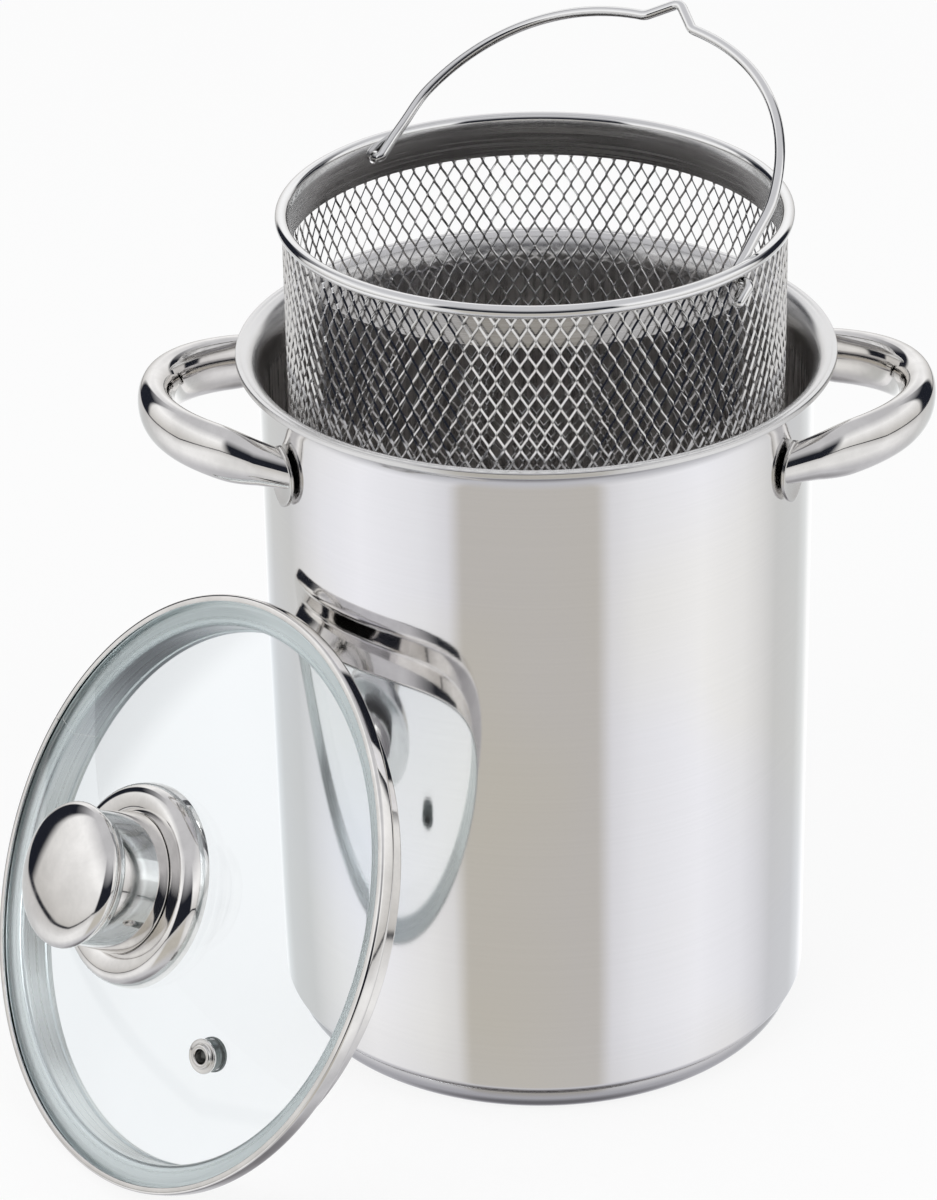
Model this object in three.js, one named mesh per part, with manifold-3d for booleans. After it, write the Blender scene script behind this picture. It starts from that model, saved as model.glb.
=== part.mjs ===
// Asparagus pot: a tall steel pot with a lifted mesh basket, a swinging bail and a glass lid leaning on it.
// Millimetres, +Z up. The origin is the centre of the pot's base, and the two handles lie on the X axis.
import * as THREE from 'three';
import { mergeVertices } from 'three/addons/utils/BufferGeometryUtils.js';
import Module from 'manifold-3d';

const wasm = await Module();
wasm.setup();

// Facets round the large rings, the knob and the small fittings
const RING_SIDES = 36;
const KNOB_SIDES = 24;
const FITTING_SIDES = 16;
const WIRE_SIDES = 8;
const BEND_STEPS = 4;
const HANDLE_STEPS = 26;
const ARCH_STEPS = 16;
const GLASS_STEPS = 7;
const HOLE_STEPS = 6;

// Clearances between pieces
const SEAT_GAP = 0.1;
const FIT_GAP = 0.3;
const REST_GAP = 0.4;
const PIVOT_GAP = 0.45;

// Pot: a drawn steel shell on an encapsulated base
const POT_RADIUS = 80.5;
const POT_HEIGHT = 215;
const POT_WALL = 0.7;
const BASE_HEIGHT = 7;
const BASE_CORNER = 4.2;
const BASE_FOOT_RADIUS = 72.8;
const BASE_SEAM_INSET = 3.6;
const BASE_CAP_WALL = 0.8;
const BASE_BELLY = 2.2;
const RIM_FLARE = 6.4;
const RIM_FLARE_HEIGHT = 9;
const RIM_EDGE = 1.9;
const RIM_LIP = 1.6;
const RIM_ROUND = 0.45;

// Side handles: oval loops on cupped plates, front and rear at the same angle from the X axis
const HANDLE_REACH = 116;
const HANDLE_HEIGHT = 17;
const HANDLE_WIDTH = 10.5;
const HANDLE_END_SHARE = 0.66;
const HANDLE_DROP = 21.5;
const HANDLE_RISE = 0.12;
const HANDLE_SHOULDER = 24;
const HANDLE_ROUNDING = 20;
const HANDLE_DRAW_IN = 5;
const HANDLE_TAPER = 0.5;
const PLATE_ANGLE = THREE.MathUtils.degToRad(28);
const PLATE_WIDTH = 13.5;
const PLATE_HEIGHT = 19;
const PLATE_THICKNESS = 2;
const PLATE_DROP = 1.8;

// Basket: expanded metal between a rolled top band and a bottom hoop, lifted clear of the pot's floor
const BASKET_HEIGHT = 170;
const BASKET_LIFT = 80;
const BASKET_GAP = 5.8;
const BEAD_RADIUS = 1.85;
const BAND_HEIGHT = 13;
const BAND_SHEET = 0.5;
const CURL_END = -60;
const RIM_WIRE_RADIUS = 0.95;
const MESH_SHEET = 0.7;
const MESH_STRAND = 2.2;
const MESH_AROUND = 24;
const MESH_ROWS = 9;
const MESH_EDGE = 0.8;
const HOOP_HEIGHT = 9;
const HOOP_SHEET = 0.6;
const HOOP_FLANGE = 7;
const BASKET_FLOOR_SHEET = 0.8;
const DRAIN_HOLE_RADIUS = 5;
const DRAIN_RINGS = [[0, 1], [24, 6], [48, 12]];

// Bail: one bent wire through two holes in the band, leaning on the rolled bead
const BAIL_WIRE_RADIUS = 1.5;
const BAIL_HEIGHT = 68.2;
const BAIL_SQUARENESS = 2.25;
const BAIL_AZIMUTH = THREE.MathUtils.degToRad(-42.5);
const BAIL_LEAN = THREE.MathUtils.degToRad(49.3);
const BAIL_OFFSET = 6.5;
const BAIL_PIVOT_DEPTH = 5.9;
const BAIL_BEND = 1.6;
const BAIL_HOOK = 6;
const BAIL_BULGE = 1.4;
const BAIL_BULGE_START = 12;
const BAIL_BULGE_END = 26;
const BAIL_KINK_HEIGHT = 6.5;
const BAIL_KINK_WIDTH = 17.4;

// Lid: a domed glass in a roll-formed steel rim, standing on the floor and leaning on the pot
const LID_RIM_INSET = 0.1;
const LID_PLUG_GAP = 2;
const LID_SKIRT_DEPTH = 10.2;
const LID_BAND_HEIGHT = 5;
const LID_LIP = 2.1;
const LID_SHEET = 0.6;
const LID_LEAN = THREE.MathUtils.degToRad(27.5);
const LID_FACING = THREE.MathUtils.degToRad(-54.1);
const LID_BEARING = THREE.MathUtils.degToRad(-52.5);
const GLASS_THICKNESS = 4;
const GLASS_RISE = 16.4;
const GLASS_EDGE_POWER = 4;
const SCREW_CLEARANCE = 1;

// Knob: a hollow cap on a dish, drawn down on the glass by one screw
const KNOB_RADIUS = 20.9;
const KNOB_HEIGHT = 24.2;
const KNOB_FOOT_RADIUS = 20.4;
const KNOB_FOOT_ROUND = 1.2;
const KNOB_WAIST_RADIUS = 18.2;
const KNOB_WAIST_DROP = 5;
const KNOB_CROWN = 5.2;
const KNOB_FLARE = 4;
const KNOB_EDGE = 2;
const KNOB_FACE_RADIUS = 15.5;
const KNOB_FACE_CROWN = 0.6;
const DISH_RADIUS = 29.6;
const DISH_EDGE = 1.2;
const DISH_CREST_WIDTH = 3.4;
const DISH_HUB_HEIGHT = 4.7;
const EDGE_ROUND = 0.5;
const GASKET_RADIUS = 14;
const GASKET_THICKNESS = 0.8;
const WASHER_RADIUS = 13;
const WASHER_THICKNESS = 1;
const SCREW_RADIUS = 2.05;
const SCREW_HEAD_RADIUS = 5;
const SCREW_HEAD_HEIGHT = 2.4;
const INSERT_WALL = 1.8;
const INSERT_LENGTH = 12;
const SCREW_TIP_GAP = 2;

// Steam vent: an eyelet through the glass and its backing ring
const VENT_INSET = 28.8;
const VENT_ANGLE = THREE.MathUtils.degToRad(-34.5);
const VENT_BORE_RADIUS = 2.1;
const VENT_TUBE_RADIUS = 4.2;
const VENT_FLANGE_RADIUS = 5;
const VENT_FLANGE_HEIGHT = 1.1;
const VENT_RING_RADIUS = 5.4;
const VENT_RING_HEIGHT = 0.9;

// Levels and radii that follow from the sizes above
const POT_INNER_RADIUS = POT_RADIUS - POT_WALL;
const POT_FLOOR = BASE_HEIGHT + SEAT_GAP + POT_WALL;
const HANDLE_LEVEL = POT_HEIGHT - HANDLE_DROP;
const BASKET_BOTTOM = POT_FLOOR + REST_GAP + BASKET_LIFT;
const BASKET_TOP = BASKET_BOTTOM + BASKET_HEIGHT;
const BEAD_OUTER_RADIUS = POT_INNER_RADIUS - BASKET_GAP;
const BEAD_RING_RADIUS = BEAD_OUTER_RADIUS - BEAD_RADIUS;
const BEAD_LEVEL = BASKET_TOP - BEAD_RADIUS;
const BAND_INNER_RADIUS = BEAD_RING_RADIUS - BEAD_RADIUS;
const BAND_OUTER_RADIUS = BAND_INNER_RADIUS + BAND_SHEET;
const MESH_INNER_RADIUS = (BAND_OUTER_RADIUS + SEAT_GAP) / Math.cos(Math.PI / MESH_AROUND);
const MESH_OUTER_RADIUS = MESH_INNER_RADIUS + MESH_SHEET;
const MESH_TOP = BEAD_LEVEL - RIM_WIRE_RADIUS - REST_GAP;
const MESH_BOTTOM = BASKET_BOTTOM + HOOP_SHEET + FIT_GAP;
const HOOP_INNER_RADIUS = MESH_OUTER_RADIUS + REST_GAP;
const HOOP_OUTER_RADIUS = HOOP_INNER_RADIUS + HOOP_SHEET;
const BAIL_PIVOT_LEVEL = BASKET_TOP - BAIL_PIVOT_DEPTH;
const BAIL_STOP_RADIUS = BAND_INNER_RADIUS - BAIL_WIRE_RADIUS - SEAT_GAP;
const BAIL_STOP_SIDE = BAIL_OFFSET + (BEAD_LEVEL - BAIL_PIVOT_LEVEL) * Math.tan(BAIL_LEAN);
const BAIL_HALF_WIDTH = Math.sqrt(BAIL_STOP_RADIUS ** 2 - BAIL_STOP_SIDE ** 2);
const BAIL_HOOK_REACH = MESH_OUTER_RADIUS + PIVOT_GAP + BAIL_BEND;
const BAIL_HOLE_RADIUS = BAIL_WIRE_RADIUS + PIVOT_GAP;
const LID_RADIUS = POT_RADIUS + RIM_FLARE - LID_RIM_INSET;
const LID_SKIRT_RADIUS = POT_INNER_RADIUS - LID_PLUG_GAP;
const GLASS_EDGE_RADIUS = LID_RADIUS - LID_SHEET - FIT_GAP;
const GLASS_EDGE_LOW = LID_SKIRT_DEPTH + LID_SHEET + FIT_GAP;
const GLASS_EDGE_HIGH = LID_SKIRT_DEPTH + LID_BAND_HEIGHT - LID_SHEET - FIT_GAP;
const GLASS_TOP = GLASS_EDGE_HIGH + GLASS_RISE;
const DOME_RADIUS = GLASS_EDGE_RADIUS - LID_LIP;
const VENT_DISTANCE = DOME_RADIUS - VENT_INSET;
const GLASS_BORE_RADIUS = SCREW_RADIUS + SCREW_CLEARANCE;
const DISH_SEAT = GLASS_TOP + GASKET_THICKNESS + 2 * FIT_GAP;
const KNOB_SEAT = DISH_SEAT + DISH_HUB_HEIGHT + FIT_GAP;
const KNOB_BORE_RADIUS = SCREW_RADIUS + INSERT_WALL + 2 * FIT_GAP;
const KNOB_BORE_TOP = KNOB_SEAT + INSERT_LENGTH + 2 * FIT_GAP;

// Finishes
const polished = { color: 0xd9d7d3, roughness: 0.12, metalness: 1 };
const satin = { color: 0xcfcecb, roughness: 0.24, metalness: 1 };
const aluminium = { color: 0xc4c6c8, roughness: 0.4, metalness: 1 };
const clearGlass = { color: 0xe6f1f0, roughness: 0.04, metalness: 0, transparent: true, opacity: 0.35 };
const silicone = { color: 0x2b2b2c, roughness: 0.7, metalness: 0 };

const point = (radius, level) => new THREE.Vector2(radius, level);

// A smooth bend in a profile, from one point to another past a corner
function bend(from, corner, to, steps) {
  return new THREE.QuadraticBezierCurve(from, corner, to).getPoints(steps);
}

// A round arc of a profile, angles in degrees from the outward direction
function arc(centre, radius, startDegrees, endDegrees, steps) {
  return Array.from({ length: steps + 1 }, (_, i) => {
    const angle = THREE.MathUtils.degToRad(THREE.MathUtils.lerp(startDegrees, endDegrees, i / steps));
    return point(centre.x + radius * Math.cos(angle), centre.y + radius * Math.sin(angle));
  });
}

// A plain ring's section between two radii and two levels
function band(inner, outer, foot, top) {
  return [point(inner, foot), point(outer, foot), point(outer, top), point(inner, top)];
}

// A turned piece about +Z. The profile runs anticlockwise, with the axis on its left or as a closed ring
function turned(profile, sides, isRing = false) {
  const outline = isRing ? [...profile, profile[0]] : profile;
  return new THREE.LatheGeometry(outline, sides).rotateX(Math.PI / 2);
}

// A closed shell of shared vertices, with faces that have no area left out
function sealed(geometry) {
  const bare = geometry.clone();
  bare.deleteAttribute('normal');
  bare.deleteAttribute('uv');
  const merged = mergeVertices(bare, 1e-4);
  const index = Array.from(merged.index.array);
  const kept = [];
  for (let i = 0; i < index.length; i += 3) {
    const [a, b, c] = index.slice(i, i + 3);
    if (a !== b && b !== c && c !== a) kept.push(a, b, c);
  }
  merged.setIndex(kept);
  return merged;
}

function solidOf(geometry) {
  const shell = sealed(geometry);
  const vertProperties = new Float32Array(shell.attributes.position.array);
  const triVerts = new Uint32Array(shell.index.array);
  return new wasm.Manifold(new wasm.Mesh({ numProp: 3, vertProperties, triVerts }));
}

function geometryOf(solid) {
  const mesh = solid.getMesh();
  const geometry = new THREE.BufferGeometry();
  geometry.setAttribute('position', new THREE.BufferAttribute(new Float32Array(mesh.vertProperties), 3));
  geometry.setIndex(new THREE.BufferAttribute(new Uint32Array(mesh.triVerts), 1));
  return geometry;
}

function cut(geometry, tools) {
  const result = tools.reduce((solid, tool) => solid.subtract(solidOf(tool)), solidOf(geometry));
  return geometryOf(result);
}

function piece(name, geometry, finish) {
  const shell = sealed(geometry);
  shell.computeVertexNormals();
  const mesh = new THREE.Mesh(shell, new THREE.MeshStandardMaterial(finish));
  mesh.name = name;
  return mesh;
}

// Pot shell: floor, rounded corner, straight wall and flared rim with a thick rolled edge
function potShell() {
  const floorUnder = BASE_HEIGHT + SEAT_GAP;
  const rimRadius = POT_RADIUS + RIM_FLARE;
  const flareFoot = POT_HEIGHT - RIM_FLARE_HEIGHT;
  const edgeUnder = POT_HEIGHT - RIM_EDGE;
  const cornerStart = POT_RADIUS - BASE_CORNER;
  const cornerTop = floorUnder + BASE_CORNER;
  const wallFoot = point(POT_RADIUS, cornerTop);
  const wallTop = point(POT_RADIUS, flareFoot);
  const edgeRoot = point(rimRadius - RIM_LIP, edgeUnder);
  const outside = [
    point(0, floorUnder),
    ...bend(point(cornerStart, floorUnder), point(POT_RADIUS, floorUnder), wallFoot, BEND_STEPS),
    ...bend(wallTop, point(POT_RADIUS, edgeUnder - RIM_ROUND), edgeRoot, BEND_STEPS),
    point(rimRadius - RIM_ROUND, edgeUnder),
    point(rimRadius, edgeUnder + RIM_ROUND),
    point(rimRadius, POT_HEIGHT - RIM_ROUND),
    point(rimRadius - RIM_ROUND, POT_HEIGHT),
  ];
  const lipInner = point(rimRadius - RIM_LIP, POT_HEIGHT);
  const lipCorner = point(POT_INNER_RADIUS, POT_HEIGHT - RIM_LIP);
  const innerFoot = point(POT_INNER_RADIUS, cornerTop);
  const inside = [
    ...bend(lipInner, lipCorner, point(POT_INNER_RADIUS, flareFoot), BEND_STEPS),
    ...bend(innerFoot, point(POT_INNER_RADIUS, POT_FLOOR), point(cornerStart, POT_FLOOR), BEND_STEPS),
    point(0, POT_FLOOR),
  ];
  return turned([...outside, ...inside], RING_SIDES);
}

// The base's rounded side, drawn in by a distance
function baseSide(inset) {
  const foot = point(BASE_FOOT_RADIUS - inset, inset);
  const seam = point(POT_RADIUS - BASE_SEAM_INSET - inset, BASE_HEIGHT);
  const belly = point(seam.x, inset + BASE_BELLY);
  return bend(foot, belly, seam, BEND_STEPS);
}

function baseCap() {
  const inner = baseSide(BASE_CAP_WALL).reverse();
  return turned([point(0, 0), ...baseSide(0), ...inner, point(0, BASE_CAP_WALL)], RING_SIDES);
}

function baseCore() {
  const inset = BASE_CAP_WALL + SEAT_GAP;
  return turned([point(0, inset), ...baseSide(inset), point(0, BASE_HEIGHT)], RING_SIDES);
}

// One handle on the +X side: an oval tube round a flat loop that thins and drops towards the pot
function handleLoop() {
  const startX = POT_INNER_RADIUS * Math.cos(PLATE_ANGLE);
  const startY = POT_RADIUS * Math.sin(PLATE_ANGLE);
  const apexX = HANDLE_REACH - HANDLE_WIDTH / 2;
  const shoulderX = startX + HANDLE_SHOULDER;
  const half = (side) => [
    new THREE.Vector3(startX, side * startY, 0),
    new THREE.Vector3(shoulderX, side * (startY - HANDLE_DRAW_IN), 0),
    new THREE.Vector3(apexX, side * HANDLE_ROUNDING, 0),
    new THREE.Vector3(apexX, 0, 0),
  ];
  const path = new THREE.CurvePath();
  path.add(new THREE.CubicBezierCurve3(...half(-1)));
  path.add(new THREE.CubicBezierCurve3(...half(1).reverse()));
  const section = new THREE.Shape().absellipse(0, 0, HANDLE_HEIGHT / 2, HANDLE_WIDTH / 2, 0, 2 * Math.PI);
  const settings = { steps: HANDLE_STEPS, curveSegments: WIRE_SIDES, extrudePath: path };
  const tube = new THREE.ExtrudeGeometry(section, settings);
  const place = tube.attributes.position;
  for (let i = 0; i < place.count; i += 1) {
    const outward = (place.getX(i) - startX) / (apexX - startX);
    const filled = THREE.MathUtils.smoothstep(outward, 0, HANDLE_TAPER);
    const share = THREE.MathUtils.lerp(HANDLE_END_SHARE, 1, filled);
    place.setZ(i, HANDLE_LEVEL + place.getZ(i) * share + HANDLE_RISE * (place.getX(i) - startX));
  }
  const plateFace = POT_RADIUS + FIT_GAP + PLATE_THICKNESS;
  const clearRadius = Math.hypot(plateFace, PLATE_WIDTH / 2) + FIT_GAP;
  const potClear = new THREE.CylinderGeometry(clearRadius, clearRadius, POT_HEIGHT, 2 * RING_SIDES);
  potClear.rotateX(Math.PI / 2).translate(0, 0, POT_HEIGHT / 2);
  return cut(tube, [potClear]);
}

// A leaf-shaped plate welded to the wall, turned to its angle about the pot
function handlePlate(angle) {
  const leaf = new THREE.Shape().absellipse(0, 0, PLATE_WIDTH / 2, PLATE_HEIGHT / 2, 0, 2 * Math.PI);
  const settings = { depth: PLATE_THICKNESS, bevelEnabled: false, curveSegments: WIRE_SIDES };
  const plate = new THREE.ExtrudeGeometry(leaf, settings);
  plate.rotateX(Math.PI / 2).rotateZ(Math.PI / 2);
  return plate.translate(POT_RADIUS + FIT_GAP, 0, HANDLE_LEVEL - PLATE_DROP).rotateZ(angle);
}

// Top band: a sheet whose upper edge is curled outwards over a stiffening wire
function basketBand() {
  const centre = point(BEAD_RING_RADIUS, BEAD_LEVEL);
  const bandFoot = BASKET_TOP - BAND_HEIGHT;
  const profile = [
    point(BAND_INNER_RADIUS, bandFoot),
    point(BAND_OUTER_RADIUS, bandFoot),
    ...arc(centre, BEAD_RADIUS - BAND_SHEET, 180, CURL_END, WIRE_SIDES),
    ...arc(centre, BEAD_RADIUS, CURL_END, 180, WIRE_SIDES),
  ];
  const holeLength = 4 * BEAD_RING_RADIUS;
  const holes = new THREE.CylinderGeometry(BAIL_HOLE_RADIUS, BAIL_HOLE_RADIUS, holeLength, FITTING_SIDES);
  holes.rotateZ(Math.PI / 2).translate(0, BAIL_OFFSET, BAIL_PIVOT_LEVEL).rotateZ(BAIL_AZIMUTH);
  return cut(turned(profile, RING_SIDES, true), [holes]);
}

function rimWire() {
  const centre = point(BEAD_RING_RADIUS, BEAD_LEVEL);
  const lastAngle = 360 - 360 / WIRE_SIDES;
  return turned(arc(centre, RIM_WIRE_RADIUS, 0, lastAngle, WIRE_SIDES - 1), RING_SIDES, true);
}

// Expanded metal in a coarse form: staggered diamonds, each row half a pitch on from the last,
// turned so that the bail's offset ends pass through the open half diamonds of the top row.
// A strand crossing has four corners, one in each of the diamonds round it, on the inside and the outside.
function basketMesh() {
  const pitch = 2 * Math.PI / MESH_AROUND;
  const rowHeight = (MESH_TOP - MESH_BOTTOM - 2 * MESH_EDGE) / (MESH_ROWS - 1);
  const halfStrandAngle = MESH_STRAND / MESH_OUTER_RADIUS;
  const halfStrandHeight = halfStrandAngle * rowHeight / (pitch / 2);
  const shifts = { left: -halfStrandAngle, right: halfStrandAngle };
  const lifts = { up: halfStrandHeight, down: -halfStrandHeight, top: MESH_EDGE, foot: -MESH_EDGE };
  const last = MESH_ROWS - 1;
  const isShifted = (row) => (last - row) % 2 === 1;
  const positions = [];
  const index = [];
  const ids = new Map();
  const corner = (row, column, part, radius) => {
    const key = [row, (column + MESH_AROUND) % MESH_AROUND, part, radius].join();
    if (!ids.has(key)) {
      const shift = shifts[part] ?? 0;
      const lift = lifts[part] ?? 0;
      const angle = BAIL_AZIMUTH + (column + (isShifted(row) ? 0.5 : 0)) * pitch + shift;
      const level = MESH_BOTTOM + MESH_EDGE + row * rowHeight + lift;
      ids.set(key, positions.length / 3);
      positions.push(radius * Math.cos(angle), radius * Math.sin(angle), level);
    }
    return ids.get(key);
  };
  const sheet = (corners) => {
    const outer = corners.map((c) => corner(...c, MESH_OUTER_RADIUS));
    const inner = corners.map((c) => corner(...c, MESH_INNER_RADIUS)).reverse();
    for (const ring of [outer, inner]) {
      for (let i = 2; i < ring.length; i += 1) index.push(ring[0], ring[i - 1], ring[i]);
    }
  };
  const wall = (from, to) => {
    const [a, b] = [corner(...from, MESH_OUTER_RADIUS), corner(...to, MESH_OUTER_RADIUS)];
    const [c, d] = [corner(...to, MESH_INNER_RADIUS), corner(...from, MESH_INNER_RADIUS)];
    index.push(a, c, b, a, d, c);
  };
  for (let column = 0; column < MESH_AROUND; column += 1) {
    for (let row = 0; row <= last; row += 1) {
      const low = row === 0 ? 'foot' : 'down';
      const high = row === last ? 'top' : 'up';
      sheet([[row, column, low], [row, column, 'right'], [row, column, high], [row, column, 'left']]);
      if (row === 0 || row === last) edgeStrip(row, column, sheet, wall);
      if (row === last) continue;
      const above = row + 1;
      const toRight = isShifted(row) ? column + 1 : column;
      const toLeft = toRight - 1;
      const rightEnd = [[above, toRight, 'down'], [above, toRight, 'left']];
      const leftEnd = [[above, toLeft, 'right'], [above, toLeft, 'down']];
      sheet([[row, column, 'right'], ...rightEnd, [row, column, 'up']]);
      wall([row, column, 'right'], rightEnd[0]);
      wall(rightEnd[1], [row, column, 'up']);
      sheet([[row, column, 'up'], ...leftEnd, [row, column, 'left']]);
      wall([row, column, 'up'], leftEnd[0]);
      wall(leftEnd[1], [row, column, 'left']);
    }
  }
  const geometry = new THREE.BufferGeometry();
  geometry.setAttribute('position', new THREE.Float32BufferAttribute(positions, 3));
  geometry.setIndex(index);
  return geometry;
}

// The plain strip along the mesh's cut edges, from one strand crossing to the next
function edgeStrip(row, column, sheet, wall) {
  const next = column + 1;
  if (row === 0) {
    sheet([[row, column, 'foot'], [row, next, 'foot'], [row, next, 'left'], [row, column, 'right']]);
    wall([row, column, 'foot'], [row, next, 'foot']);
    wall([row, next, 'left'], [row, column, 'right']);
  } else {
    sheet([[row, column, 'right'], [row, next, 'left'], [row, next, 'top'], [row, column, 'top']]);
    wall([row, column, 'right'], [row, next, 'left']);
    wall([row, next, 'top'], [row, column, 'top']);
  }
}

// Bottom hoop: a channel that takes the mesh's lower edge and carries the floor
function basketHoop() {
  const profile = [
    point(HOOP_OUTER_RADIUS - HOOP_FLANGE, BASKET_BOTTOM),
    point(HOOP_OUTER_RADIUS, BASKET_BOTTOM),
    point(HOOP_OUTER_RADIUS, BASKET_BOTTOM + HOOP_HEIGHT),
    point(HOOP_INNER_RADIUS, BASKET_BOTTOM + HOOP_HEIGHT),
    point(HOOP_INNER_RADIUS, BASKET_BOTTOM + HOOP_SHEET),
    point(HOOP_OUTER_RADIUS - HOOP_FLANGE, BASKET_BOTTOM + HOOP_SHEET),
  ];
  return turned(profile, RING_SIDES, true);
}

function basketFloor() {
  const edge = arc(point(0, 0), BAND_OUTER_RADIUS - FIT_GAP, 0, 360, RING_SIDES);
  const disc = new THREE.Shape(edge.slice(1));
  for (const [distance, count] of DRAIN_RINGS) {
    for (let i = 0; i < count; i += 1) {
      const angle = 2 * Math.PI * i / count;
      const hole = new THREE.Path();
      const [x, y] = [distance * Math.cos(angle), distance * Math.sin(angle)];
      disc.holes.push(hole.absarc(x, y, DRAIN_HOLE_RADIUS, 0, 2 * Math.PI));
    }
  }
  const settings = { depth: BASKET_FLOOR_SHEET, bevelEnabled: false, curveSegments: HOLE_STEPS };
  const plate = new THREE.ExtrudeGeometry(disc, settings);
  return plate.translate(0, 0, BASKET_BOTTOM + HOOP_SHEET + SEAT_GAP);
}

// Bail: hook, bend through the band, superellipse arch with a grip kink, then the same mirrored.
// Drawn in the XZ plane with the pivot axis along X.
function bail() {
  const archRoot = BAIL_BEND;
  const archHeight = BAIL_HEIGHT - archRoot;
  const bendMiddle = BAIL_BEND * (1 - Math.SQRT1_2);
  const hookEnd = [
    [BAIL_HOOK_REACH, -BAIL_HOOK],
    [BAIL_HOOK_REACH, -BAIL_BEND],
    [BAIL_HOOK_REACH - bendMiddle, -bendMiddle],
    [BAIL_HOOK_REACH - BAIL_BEND, 0],
    [BAIL_HALF_WIDTH + BAIL_BEND, 0],
    [BAIL_HALF_WIDTH + bendMiddle, bendMiddle],
  ];
  const power = 2 / BAIL_SQUARENESS;
  const kinkShare = BAIL_KINK_WIDTH / 2 / BAIL_HALF_WIDTH;
  const kinkStart = Math.acos(kinkShare ** (1 / power));
  const rise = Array.from({ length: ARCH_STEPS + 1 }, (_, i) => {
    const angle = kinkStart * i / ARCH_STEPS;
    const up = archRoot + archHeight * Math.sin(angle) ** power;
    const bulge = BAIL_BULGE * THREE.MathUtils.smoothstep(up, BAIL_BULGE_START, BAIL_BULGE_END);
    return [(BAIL_HALF_WIDTH + bulge) * Math.cos(angle) ** power, up];
  });
  const half = [...hookEnd, ...rise];
  const crown = [[0, BAIL_HEIGHT + BAIL_KINK_HEIGHT]];
  const mirrored = half.map(([across, up]) => [-across, up]).reverse();
  const route = [...half, ...crown, ...mirrored].map(([across, up]) => new THREE.Vector3(across, 0, up));
  return wireAlong(route, BAIL_WIRE_RADIUS);
}

// A round wire through a flat route, with a mitred ring at each point that widens only so far
function wireAlong(route, radius) {
  const turnAxis = new THREE.Vector3(0, 1, 0);
  const widestMitre = 4 / 3;
  const positions = [];
  const index = [];
  route.forEach((centre, i) => {
    const before = centre.clone().sub(route[Math.max(i - 1, 0)]).normalize();
    const after = route[Math.min(i + 1, route.length - 1)].clone().sub(centre).normalize();
    const along = before.clone().add(after).normalize();
    const across = turnAxis.clone().cross(along);
    const stretch = Math.min(1 / along.dot(i === 0 ? after : before), widestMitre);
    for (let k = 0; k < WIRE_SIDES; k += 1) {
      const angle = 2 * Math.PI * k / WIRE_SIDES;
      const offset = across.clone().multiplyScalar(radius * stretch * Math.cos(angle));
      offset.addScaledVector(turnAxis, radius * Math.sin(angle));
      positions.push(...centre.clone().add(offset).toArray());
    }
  });
  for (let i = 1; i < route.length; i += 1) {
    for (let k = 0; k < WIRE_SIDES; k += 1) {
      const [a, b] = [(i - 1) * WIRE_SIDES + k, (i - 1) * WIRE_SIDES + (k + 1) % WIRE_SIDES];
      const [c, d] = [a + WIRE_SIDES, b + WIRE_SIDES];
      index.push(a, b, c, b, d, c);
    }
  }
  const end = (route.length - 1) * WIRE_SIDES;
  for (let k = 2; k < WIRE_SIDES; k += 1) index.push(0, k, k - 1, end, end + k - 1, end + k);
  const geometry = new THREE.BufferGeometry();
  geometry.setAttribute('position', new THREE.Float32BufferAttribute(positions, 3));
  geometry.setIndex(index);
  return geometry;
}

// Lid rim: skirt that plugs into the pot, seat flange, and a band folded over the glass edge
function lidRim() {
  const seat = LID_SKIRT_DEPTH;
  const top = LID_SKIRT_DEPTH + LID_BAND_HEIGHT;
  const inner = LID_SKIRT_RADIUS - LID_SHEET;
  const profile = [
    point(inner, 0),
    point(LID_SKIRT_RADIUS, 0),
    point(LID_SKIRT_RADIUS, seat),
    point(LID_RADIUS - LID_SHEET, seat),
    point(LID_RADIUS, seat + LID_SHEET),
    point(LID_RADIUS, top - LID_SHEET),
    point(LID_RADIUS - LID_SHEET, top),
    point(LID_RADIUS - LID_LIP, top),
    point(LID_RADIUS - LID_LIP, top - LID_SHEET),
    point(LID_RADIUS - LID_SHEET, top - LID_SHEET),
    point(LID_RADIUS - LID_SHEET, seat + LID_SHEET),
    point(inner, seat + LID_SHEET),
  ];
  return turned(profile, RING_SIDES, true);
}

// Height of the dome's upper face at a distance from the lid's axis
function domeHeight(distance) {
  return GLASS_TOP - GLASS_RISE * (distance / DOME_RADIUS) ** 2;
}

function domeSlope(distance) {
  return 2 * GLASS_RISE * distance / DOME_RADIUS ** 2;
}

// The glass thins towards the edge that the rim grips
function lidGlass() {
  const edgeThickness = GLASS_EDGE_HIGH - GLASS_EDGE_LOW;
  const thickness = (distance) => {
    const share = (distance / DOME_RADIUS) ** GLASS_EDGE_POWER;
    return THREE.MathUtils.lerp(GLASS_THICKNESS, edgeThickness, share);
  };
  const distances = Array.from({ length: GLASS_STEPS + 1 }, (_, i) =>
    THREE.MathUtils.lerp(GLASS_BORE_RADIUS, DOME_RADIUS, i / GLASS_STEPS));
  const under = distances.map((distance) => point(distance, domeHeight(distance) - thickness(distance)));
  const upper = distances.map((distance) => point(distance, domeHeight(distance))).reverse();
  const edge = [point(GLASS_EDGE_RADIUS, GLASS_EDGE_LOW), point(GLASS_EDGE_RADIUS, GLASS_EDGE_HIGH)];
  const holeRadius = VENT_TUBE_RADIUS + FIT_GAP;
  const ventHole = new THREE.CylinderGeometry(holeRadius, holeRadius, 4 * GLASS_THICKNESS, FITTING_SIDES);
  ventHole.rotateX(Math.PI / 2).applyMatrix4(ventPlace());
  return cut(turned([...under, ...edge, ...upper], RING_SIDES, true), [ventHole]);
}

// The vent stands square to the dome's upper face
function ventPlace() {
  const stand = new THREE.Matrix4().makeRotationY(Math.atan(domeSlope(VENT_DISTANCE)));
  stand.setPosition(VENT_DISTANCE, 0, domeHeight(VENT_DISTANCE));
  return new THREE.Matrix4().makeRotationZ(VENT_ANGLE).multiply(stand);
}

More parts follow.
